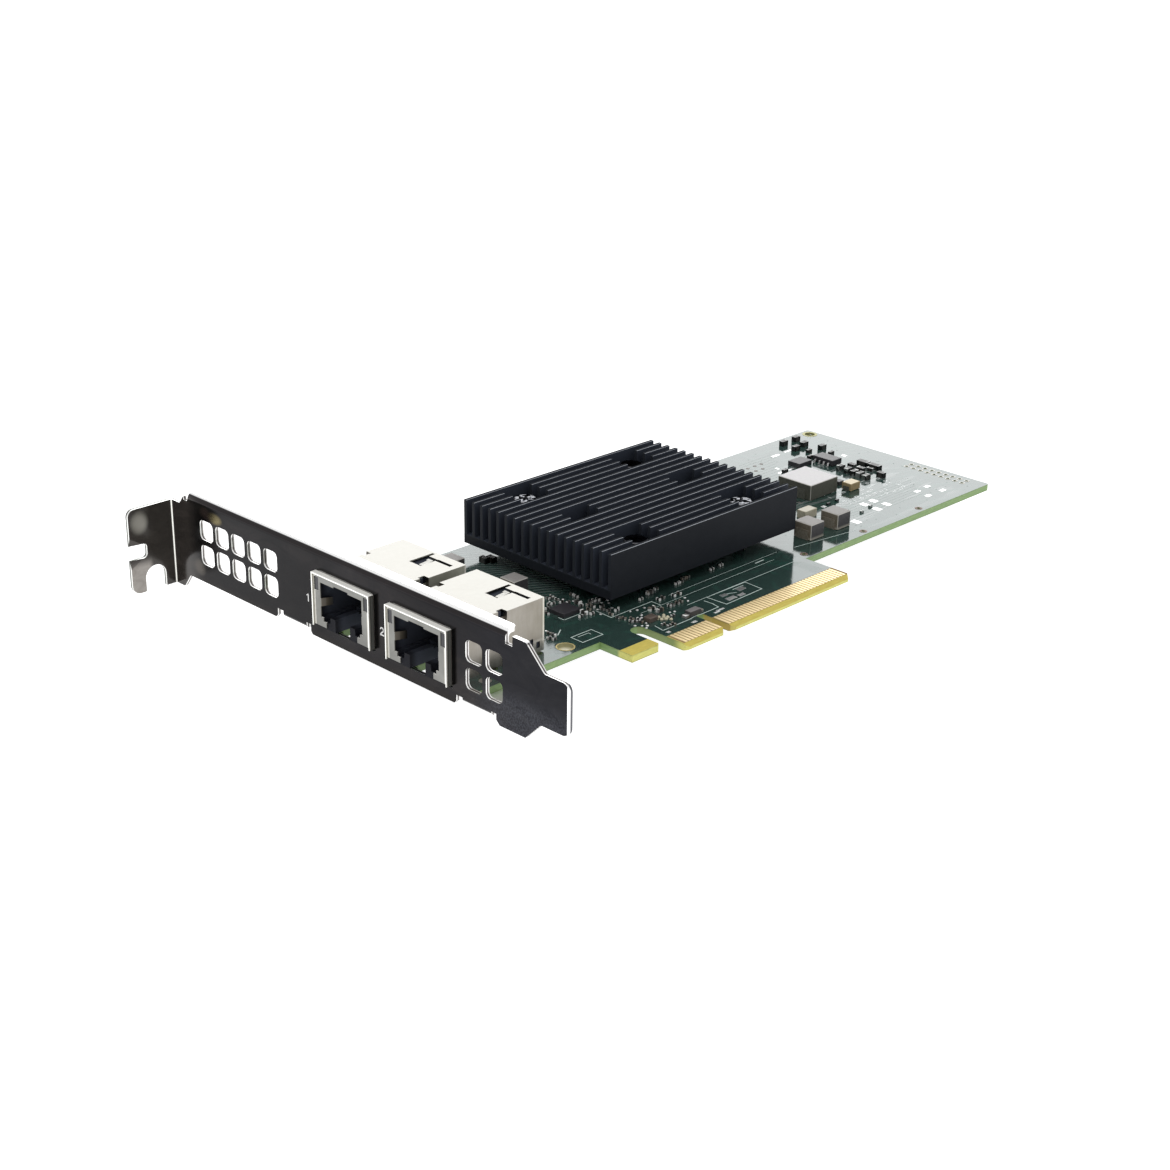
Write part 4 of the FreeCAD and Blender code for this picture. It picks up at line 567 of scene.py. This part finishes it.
MAT = {
    "board": board_material(),
    "bracket": bracket_material(),
    "tin1": tin_material(49.43),
    "tin2": tin_material(27.054),
    "sink": sink_material(),
    "gold": simple("gold_plate", [(0.3, (0.56, 0.435, 0.225)), (0.7, (0.70, 0.565, 0.320))], 0.8, rough=0.36, metal=1.0,
                   bump=0.15, vec=(2.0, 0.25, 1.0)),
    "ring_gold": ring_material(),
    "chokefoot": choke_foot_material(),
    "black": housing_material(),
    "wire": simple("contact_wire", [(0.3, (0.24, 0.18, 0.09)), (0.7, (0.40, 0.31, 0.16))], 1.5, rough=0.35, metal=1.0, vec=(0.2, 2.0, 2.0)),
    "lens": simple("lamp_lens", [(0.3, (0.022, 0.022, 0.026)), (0.7, (0.040, 0.040, 0.046))], 0.8, rough=0.22, spec=0.35, bump=0.1),
    "solder": simple("solder_bright", [(0.3, (0.55, 0.55, 0.55)), (0.7, (0.80, 0.80, 0.79))], 2.0, rough=0.30, metal=1.0, bump=0.5, dist=0.00004),
    "chip": simple("chip_moulding", [(0.3, (0.016, 0.015, 0.019)), (0.7, (0.030, 0.028, 0.033))], 2.5, rough=0.42, bump=0.5, spec=0.5),
    "pad": simple("thermal_pad", [(0.3, (0.30, 0.32, 0.35)), (0.7, (0.40, 0.42, 0.45))], 1.5, rough=0.8, bump=0.4),
    "steel": simple("plain_steel", [(0.3, (0.40, 0.40, 0.39)), (0.7, (0.56, 0.56, 0.55))], 1.4, rough=0.3, metal=1.0),
    "ferrite": choke_material(),
    "tinned": metal_end_material(),
    "blackscrew": black_screw_material(),
    # Polymer and tantalum cases: their top tones are painted light.
    "polymer": simple("capacitor_case", [(0.3, (0.42, 0.38, 0.28)), (0.7, (0.62, 0.58, 0.46))], 1.2, rough=0.4, top=(0.36, 0.33, 0.25)),
    "tantalum": simple("tantalum_case", [(0.3, (0.22, 0.16, 0.08)), (0.7, (0.36, 0.28, 0.15))], 1.2, rough=0.42, top=(0.50, 0.42, 0.27)),
    "ceramic": ceramic_material("capacitor_ceramic", (0.012, 0.012, 0.011), (0.030, 0.028, 0.024)),
    "resistor": ceramic_material("resistor_glaze", (0.02, 0.02, 0.022), (0.05, 0.05, 0.052)),
    "crystal": simple("crystal_lid", [(0.3, (0.075, 0.055, 0.045)), (0.7, (0.14, 0.11, 0.09))], 1.0, rough=0.4, metal=0.3),
    "silk": simple("legend_ink", [(0.3, (0.42, 0.52, 0.49)), (0.7, (0.60, 0.68, 0.65))], 1.4, rough=0.6, spec=0.4, bump=0.3),
    "white": simple("bracket_ink", [(0.3, (0.66, 0.66, 0.66)), (0.7, (0.85, 0.85, 0.84))], 1.4, rough=0.6, bump=0.2),
    "mark": simple("bare_mark", [(0.3, (0.60, 0.64, 0.63)), (0.7, (0.76, 0.80, 0.79))], 1.5, rough=0.20, spec=0.6),
    "testpoint": simple("test_point", [(0.3, (0.150, 0.135, 0.125)), (0.7, (0.230, 0.210, 0.195))], 2.0, rough=0.65, spec=0.2),
    "trace": simple("trace_under_mask", [(0.3, (0.010, 0.052, 0.038)), (0.7, (0.016, 0.075, 0.055))], 0.8, rough=0.09, spec=0.5, bump=0.1),
    "tan": simple("tan_part", [(0.3, (0.42, 0.38, 0.26)), (0.7, (0.66, 0.62, 0.46))], 1.5, rough=0.4, bump=0.4),
    "tab": simple("roof_tab", [(0.3, (0.40, 0.40, 0.37)), (0.7, (0.62, 0.61, 0.57))], 1.5, rough=0.45, metal=0.3, bump=0.3),
    # Diode: the glossy black top is painted paler as a highlight.
    "diode": simple("diode_moulding", [(0.3, (0.030, 0.028, 0.030)), (0.7, (0.055, 0.051, 0.053))], 2.5, rough=0.5, bump=0.4, top=(0.135, 0.125, 0.125)),
}
USE = {
    "circuit_board": "board", "edge_contacts_component_side": "gold", "edge_contacts_solder_side": "gold",
    "plated_rings": "ring_gold", "bracket": "bracket", "bracket_screws": "steel", "lamp_lenses": "lens",
    "jack_solder_pins": "solder", "heat_sink": "sink", "controller_chip": "chip", "thermal_pad": "pad",
    "sink_screws": "blackscrew", "sink_springs": "blackscrew", "sink_nuts": "steel", "large_inductor_core": "ferrite",
    "small_inductor_cores": "ferrite", "front_inductor_cores": "ferrite", "large_inductor_terminals": "chokefoot",
    "small_inductor_terminals": "chokefoot", "front_inductor_terminals": "chokefoot", "polymer_capacitor": "polymer",
    "tantalum_capacitor": "tantalum", "tantalum_terminals": "chokefoot", "converter_chip": "chip",
    "memory_chip": "chip", "memory_chip_leads": "solder", "flat_chips": "chip", "crystal": "crystal",
    "diode": "diode", "diode_terminals": "tinned", "ceramic_capacitors": "ceramic", "capacitor_ends": "tinned",
    "resistors": "resistor", "resistor_ends": "tinned",
}
for k in (1, 2):
    USE.update({"jack_%d_shield" % k: "tin%d" % k, "jack_%d_housing" % k: "black", "jack_%d_magnetics" % k: "black",
                "jack_%d_contacts" % k: "wire"})
for name, o in NODE.items():
    o.data.materials.clear()
    o.data.materials.append(MAT[USE[name]])


# ------------------------------------------------------------------ mesh helpers
class Mesh:
    """Collects small closed solids, in millimetres, into one piece."""

    def __init__(self):
        self.bm = bmesh.new()

    def prism(self, pts, z0, z1):
        """Upright prism over a polygon of (x, y) points, anticlockwise."""
        lo = [self.bm.verts.new((x * MM, y * MM, z0 * MM)) for x, y in pts]
        hi = [self.bm.verts.new((x * MM, y * MM, z1 * MM)) for x, y in pts]
        n = len(pts)
        self.bm.faces.new(lo[::-1])
        self.bm.faces.new(hi)
        for i in range(n):
            j = (i + 1) % n
            self.bm.faces.new((lo[i], lo[j], hi[j], hi[i]))

    def box(self, x0, x1, y0, y1, z0, z1):
        self.prism([(x0, y0), (x1, y0), (x1, y1), (x0, y1)], z0, z1)

    def line(self, a, c, w, z0=0.0, z1=0.018):
        (x0, y0), (x1, y1) = a, c
        d = math.hypot(x1 - x0, y1 - y0)
        ux, uy = (x1 - x0) / d, (y1 - y0) / d
        nx, ny = -uy * w / 2, ux * w / 2
        ex, ey = ux * w / 2, uy * w / 2
        self.prism([(x0 - ex - nx, y0 - ey - ny), (x1 + ex - nx, y1 + ey - ny),
                    (x1 + ex + nx, y1 + ey + ny), (x0 - ex + nx, y0 - ey + ny)], z0, z1)

    def path(self, pts, w, closed=False, z0=0.0, z1=0.018):
        pts = list(pts) + ([pts[0]] if closed else [])
        for k, (a, c) in enumerate(zip(pts, pts[1:])):
            self.line(a, c, w, z0, z1 + 0.0004 * (k % 2))

    def disc(self, x, y, r, z0=0.0, z1=0.018, n=20):
        self.prism([(x + r * math.cos(2 * math.pi * i / n), y + r * math.sin(2 * math.pi * i / n)) for i in range(n)], z0, z1)

    def ring(self, x, y, r, w, z0=0.0, z1=0.018, n=28):
        v = []
        for i in range(n):
            a = 2 * math.pi * i / n
            c, s = math.cos(a), math.sin(a)
            v.append([self.bm.verts.new(((x + q * c) * MM, (y + q * s) * MM, z * MM))
                      for q, z in ((r, z0), (r + w, z0), (r + w, z1), (r, z1))])
        for i in range(n):
            p, q = v[i], v[(i + 1) % n]
            for k in range(4):
                l = (k + 1) % 4
                self.bm.faces.new((p[k], p[l], q[l], q[k]))

    def dome(self, x, y, rx, ry, h, z0=0.0, n=14, rows=4):
        """Low rounded blob, closed underneath."""
        top = self.bm.verts.new((x * MM, y * MM, (z0 + h) * MM))
        prev = None
        rings = []
        for k in range(1, rows + 1):
            t = k / rows * math.pi / 2
            rings.append([self.bm.verts.new(((x + rx * math.sin(t) * math.cos(2 * math.pi * i / n)) * MM,
                                             (y + ry * math.sin(t) * math.sin(2 * math.pi * i / n)) * MM,
                                             (z0 + h * math.cos(t)) * MM)) for i in range(n)])
        for i in range(n):
            j = (i + 1) % n
            self.bm.faces.new((top, rings[0][i], rings[0][j]))
            for a, c in zip(rings, rings[1:]):
                self.bm.faces.new((a[i], c[i], c[j], a[j]))
        self.bm.faces.new(rings[-1][::-1])

    def wedge(self, pts3):
        """Convex solid from a bottom quad and a top quad, both anticlockwise from above."""
        lo = [self.bm.verts.new(tuple(c * MM for c in p)) for p in pts3[:4]]
        hi = [self.bm.verts.new(tuple(c * MM for c in p)) for p in pts3[4:]]
        self.bm.faces.new(lo[::-1])
        self.bm.faces.new(hi)
        for i in range(4):
            j = (i + 1) % 4
            self.bm.faces.new((lo[i], lo[j], hi[j], hi[i]))

    def done(self, name, mat, bevel=0.0, smooth=False):
        bmesh.ops.recalc_face_normals(self.bm, faces=self.bm.faces)
        me = bpy.data.meshes.new(name)
        self.bm.to_mesh(me)
        self.bm.free()
        me.materials.append(MAT[mat])
        if smooth:
            me.polygons.foreach_set("use_smooth", [True] * len(me.polygons))
        o = bpy.data.objects.new(name, me)
        bpy.context.scene.collection.objects.link(o)
        if bevel:
            m = o.modifiers.new("edges", "BEVEL")
            m.width = bevel * MM
            m.segments = 2
            m.limit_method = "ANGLE"
        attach(o, "root")
        return o


# ------------------------------------------------------------------ board print
ink = Mesh()
W = 0.17
ink.path([(-26.6, 18.4), (-21.0, 18.4), (-21.0, 15.1), (-26.6, 15.1)], W, closed=True)
ink.path([(-25.4, 17.6), (-22.6, 17.6), (-22.6, 16.9)], 0.12)
ink.path([(-11.0, 8.2), (-10.5, 10.8)], W)
ink.path([(-11.0, 8.2), (-2.9, 8.25), (-1.3, 8.55), (1.2, 8.35), (5.9, 8.4), (6.3, 10.5), (6.1, 12.5)], W)
ink.path([(-13.7, 24.2), (-13.9, 19.75), (-2.0, 19.75), (-2.0, 17.3)], W)
ink.path([(8.2, 8.2), (19.7, 8.5), (19.9, 13.3), (7.9, 13.4)], W, closed=True)
ink.path([(2.0, 13.45), (36.0, 13.55)], 0.12)
ink.path([(-8.0, 17.1), (34.0, 17.25)], 0.08)
ink.path([(3.0, 19.55), (38.0, 19.7)], 0.08)
ink.path([(29.6, 18.65), (32.2, 18.7)], 0.3)
ink.path([(-21.6, 25.4), (-15.8, 25.4), (-15.8, 26.6)], 0.16)
ink.path([(-21.6, 25.4), (-21.6, 27.0)], 0.16)
ink.path([(-31.2, 24.9), (-28.7, 24.9)], 0.22)
ink.path([(-27.7, 21.0), (-25.6, 22.4)], 0.2)
ink.path([(11.0, 12.3), (14.4, 10.9)], 0.16)
ink.path([(15.0, 12.4), (18.2, 12.4)], 0.16)
ink.path([(42.9, 18.8), (61.4, 15.9)], 0.12)
ink.done("board_legend", "silk")

pads = Mesh()
for x0, x1, y0, y1 in (
        (10.0, 12.6, 9.0, 10.3), (13.4, 15.2, 9.0, 9.9), (10.4, 12.2, 11.2, 12.3), (15.4, 17.6, 10.9, 12.2),
        (4.0, 6.3, 7.0, 7.5), (-3.9, -2.7, 6.4, 7.1), (-11.2, -10.2, 6.6, 7.3), (2.9, 4.5, 6.6, 7.1),
        (65.3, 66.2, 35.3, 36.6), (67.2, 68.4, 29.9, 30.9), (75.1, 76.6, 23.8, 25.8), (78.6, 80.1, 23.8, 25.8),
        (79.1, 80.6, 20.3, 22.4), (74.8, 76.4, 19.9, 22.0), (64.6, 66.3, 18.0, 20.3), (91.4, 93.1, 21.1, 22.2),
        (96.4, 98.2, 17.4, 18.5), (95.9, 97.6, 21.5, 22.6), (90.9, 92.6, 17.5, 18.7), (86.0, 88.8, 60.9, 61.8), (91.0, 93.6, 61.2, 61.9), (79.9, 80.6, 54.3, 55.4),
        (99.5, 100.6, 49.2, 50.4), (77.7, 80.3, 52.0, 52.7), (81.4, 84.3, 52.1, 52.6)):
    pads.box(x0, x1, y0, y1, 0.0, 0.03)
pads.done("bare_pads", "solder", bevel=0.01)

# Small bare marks in loose rows on the empty patch at the rear.
marks = Mesh()
random.seed(23)
for i in range(9):
    for j in range(6):
        x = 73.6 + 2.3 * i + 0.5 * random.random()
        y = 25.2 + 1.9 * j + 0.5 * random.random()
        kind = random.random()
        if (x < 80.8 and y < 26.2) or kind > 0.82:
            continue
        if kind < 0.35:
            marks.path([(x, y), (x + 0.9, y), (x + 0.9, y + 0.6), (x, y + 0.6)], 0.13, closed=True)
        elif kind < 0.6:
            marks.line((x, y), (x + 1.3, y), 0.14)
        else:
            marks.line((x, y), (x, y + 0.9), 0.16)
marks.done("bare_marks", "mark")

# Dull test points just past the sink.
points = Mesh()
for x, y in ((79.98, 59.73), (77.58, 59.8), (74.94, 59.75), (77.55, 57.18), (75.08, 57.29)):
    points.disc(x, y, 0.48, 0.0, 0.02, 20)
points.done("test_points", "testpoint")

vias = Mesh()
random.seed(11)
spots = [(75.0, 59.7), (77.3, 59.7), (79.8, 59.7), (75.0, 57.3), (77.3, 57.3), (64.5, 22.0), (70.0, 17.0)]
for _ in range(260):
    x = random.uniform(-33, 107)
    y = random.uniform(14.5, 66)
    if -14 < x < 47 and 20 < y < 66:
        continue
    if -34.9 > x:
        continue
    spots.append((x, y))
for x, y in spots:
    vias.ring(x, y, 0.10, 0.13, 0.0, 0.012, 12)
vias.done("via_rings", "trace")

tracks = Mesh()
for k in range(5):
    x = 35.0 + k * 0.62
    tracks.path([(x, 6.6), (x, 12.0), (x - 3.2, 15.2), (x - 3.2, 20.6)], 0.16, z1=0.008)
for k in range(14):
    x = -11.0 + k * 2.0
    tracks.path([(x, 6.2), (x, 7.0 + (k % 3) * 0.7)], 0.16, z1=0.008)
for k in range(6):
    y = 24.0 + 0.55 * k
    tracks.path([(-33.5, y + 8), (-27.0, y + 8), (-22.5, y + 3.5), (-22.5, y + 1.0 - k * 0.1)], 0.15, z1=0.008)
for k in range(9):
    y = 18.0 + 1.1 * k
    tracks.path([(48.0 + k, y + 8), (60.0 + k, y + 8), (66.0 + k, y + 2), (92.0 + 0.8 * k, y + 2)], 0.18, z1=0.008)
for k in range(10):
    y = 47.0 + 1.3 * k
    tracks.path([(47.5, y), (62.0 + k * 0.8, y), (68.0 + k * 0.8, y + 4), (78.0 + k, y + 4)], 0.18, z1=0.008)
tracks.done("copper_runs", "trace")

# ------------------------------------------------------------------ solder at the parts' ends
fillets = Mesh()


def blob(x, y, r, h=0.22):
    fillets.dome(x, y, r, r, h)


random.seed(5)
for x, y in ((-19.6, 36.0), (-18.5, 35.0), (-20.6, 34.2), (-17.3, 34.0), (-14.4, 33.0), (-13.4, 31.0), (-12.9, 29.8),
             (-9.9, 26.4), (-9.0, 25.2), (-8.2, 26.4), (-14.2, 22.4), (-12.9, 24.5), (-10.2, 23.1), (-9.2, 22.3),
             (-12.4, 12.6), (-11.6, 11.9), (-10.9, 12.9), (-13.4, 13.6), (-12.6, 11.2), (-9.6, 15.4), (-8.6, 16.4),
             (-28.0, 24.0), (-29.4, 23.6), (-31.0, 22.6), (-31.4, 21.2), (-3.4, 13.4), (-2.4, 13.0), (3.6, 14.8),
             (4.4, 16.4), (-5.4, 18.6), (-7.4, 18.7), (-8.9, 19.2)):
    blob(x, y, 0.26 + 0.10 * random.random(), 0.16 + 0.1 * random.random())
fillets.done("solder_joints", "solder", smooth=True)

tan = Mesh()
for x, y, rx, ry in ((-7.0, 13.1, 0.45, 0.4), (-6.2, 12.5, 0.4, 0.45), (-7.3, 12.0, 0.45, 0.4), (-6.5, 11.5, 0.5, 0.4),
                     (-5.6, 11.9, 0.4, 0.45), (-5.5, 13.1, 0.35, 0.4), (-7.9, 12.7, 0.35, 0.35), (-5.9, 10.7, 0.4, 0.35)):
    tan.dome(x, y, rx, ry, 0.42)
tan.done("glue_spots", "tan", smooth=True)

# ------------------------------------------------------------------ tongues in the roof windows
# A pale folded tongue hangs from the front end of each flag-shaped window.
for number, port in ((1, 49.43), (2, 27.054)):
    tabs = Mesh()
    tabs.wedge([(-40.6, port - 3.0, 10.70), (-38.3, port - 3.0, 10.86), (-38.3, port - 1.9, 10.86), (-40.6, port - 1.9, 10.70),
                (-40.6, port - 3.0, 10.84), (-38.3, port - 3.0, 11.02), (-38.3, port - 1.9, 11.02), (-40.6, port - 1.9, 10.84)])
    tabs.wedge([(-38.3, port - 3.0, 10.80), (-37.7, port - 3.0, 10.95), (-37.7, port - 1.5, 10.95), (-38.3, port - 1.5, 10.80),
                (-38.3, port - 3.0, 11.04), (-37.7, port - 3.0, 11.12), (-37.7, port - 1.5, 11.12), (-38.3, port - 1.5, 11.04)])
    tabs.done("roof_tongue_%d" % number, "tab")

# ------------------------------------------------------------------ bracket print
# Plain port numerals and bars; nothing else is printed.
face = -58.0
numer = Mesh()


def on_face(pts, y, z, size, t=0.02):
    """A flat figure on the bracket's face, reading upright with +Z up and +Y to the left."""
    for poly in pts:
        vs = [(y - u * size, z + v * size) for u, v in poly]
        lo = [numer.bm.verts.new((face * MM, a * MM, c * MM)) for a, c in vs]
        hi = [numer.bm.verts.new(((face - t) * MM, a * MM, c * MM)) for a, c in vs]
        n = len(vs)
        numer.bm.faces.new(lo)
        numer.bm.faces.new(hi[::-1])
        for i in range(n):
            j = (i + 1) % n
            numer.bm.faces.new((lo[j], lo[i], hi[i], hi[j]))


def bar(a, c, w=0.16):
    (x0, y0), (x1, y1) = a, c
    d = math.hypot(x1 - x0, y1 - y0)
    nx, ny = -(y1 - y0) / d * w / 2, (x1 - x0) / d * w / 2
    return [(x0 - nx, y0 - ny), (x1 - nx, y1 - ny), (x1 + nx, y1 + ny), (x0 + nx, y0 + ny)]


ONE = [bar((0.5, 0.0), (0.5, 1.0)), bar((0.5, 0.96), (0.22, 0.74), 0.13)]
TWO = [bar((0.1, 0.06), (0.8, 0.06)), bar((0.14, 0.1), (0.72, 0.62), 0.15), bar((0.72, 0.58), (0.62, 0.9), 0.15),
       bar((0.66, 0.92), (0.3, 0.94), 0.15), bar((0.32, 0.94), (0.14, 0.74), 0.14)]
on_face(ONE, 61.9, 3.7, 1.7)
on_face(TWO, 39.0, 3.7, 1.7)
numer.done("port_numerals", "white")

# ------------------------------------------------------------------ surroundings
def flat_sheet(name, corners, mat):
    me = bpy.data.meshes.new(name)
    me.from_pydata(corners, [], [(0, 1, 2, 3)])
    me.materials.append(mat)
    o = bpy.data.objects.new(name, me)
    bpy.context.scene.collection.objects.link(o)
    return o


floor_mat = bpy.data.materials.new("studio_floor")
floor_mat.use_nodes = True
fb = floor_mat.node_tree.nodes["Principled BSDF"]
fb.inputs["Base Color"].default_value = (0.5, 0.5, 0.5, 1.0)
fb.inputs["Roughness"].default_value = 1.0
fb.inputs["Specular IOR Level"].default_value = 0.0
fb.inputs["Emission Color"].default_value = (1.0, 1.0, 1.0, 1.0)
fb.inputs["Emission Strength"].default_value = 0.95
low = cad_box[0][2] - 0.0001
flat_sheet("floor", [(-6, -6, low), (8, -6, low), (8, 8, low), (-6, 8, low)], floor_mat)

world = bpy.data.worlds.new("studio")
bpy.context.scene.world = world
world.use_nodes = True
bg = world.node_tree.nodes["Background"]
bg.inputs[0].default_value = (1.0, 1.0, 1.0, 1.0)
bg.inputs[1].default_value = 0.85


def area(name, pos, look, sx, sy, watts, color=(1, 1, 1)):
    d = bpy.data.lights.new(name, "AREA")
    d.shape = "RECTANGLE"
    d.size, d.size_y = sx, sy
    d.energy = watts
    d.color = color
    o = bpy.data.objects.new(name, d)
    z = (Vector(pos) - Vector(look)).normalized()
    o.matrix_world = Matrix.Translation(Vector(pos)) @ z.to_track_quat("Z", "Y").to_matrix().to_4x4()
    bpy.context.scene.collection.objects.link(o)
    return o


mid = Vector((0.02, 0.045, 0.0))
# Large soft light behind the card: it lies in the mirror direction of every level surface.
area("back_softbox", mid + Vector((0.60, 0.575, 0.37)), mid, 1.5, 0.62, 6.35)
area("top_softbox", mid + Vector((-0.1, -0.1, 0.9)), mid, 0.9, 0.9, 2.0)

# ------------------------------------------------------------------ camera
cam_data = bpy.data.cameras.new("camera")
cam_data.sensor_width = 36.0
cam_data.sensor_fit = "HORIZONTAL"
cam_data.lens = 61.615
cam_data.shift_x = -0.02618
cam_data.shift_y = -0.00456
cam_data.clip_start = 0.01
cam_data.clip_end = 50.0
cam = bpy.data.objects.new("camera", cam_data)
right = Vector((0.69608, -0.71773, 0.01806)).normalized()
back = Vector((-0.66747, -0.63766, 0.38455))
back = (back - right * back.dot(right)).normalized()
up = back.cross(right)
cam.matrix_world = Matrix(((right.x, up.x, back.x, -0.280518), (right.y, up.y, back.y, -0.236001),
                           (right.z, up.z, back.z, 0.162204), (0, 0, 0, 1)))
bpy.context.scene.collection.objects.link(cam)
bpy.context.scene.camera = cam
bpy.context.scene.view_settings.view_transform = "Standard"
bpy.context.scene.view_settings.look = "None"
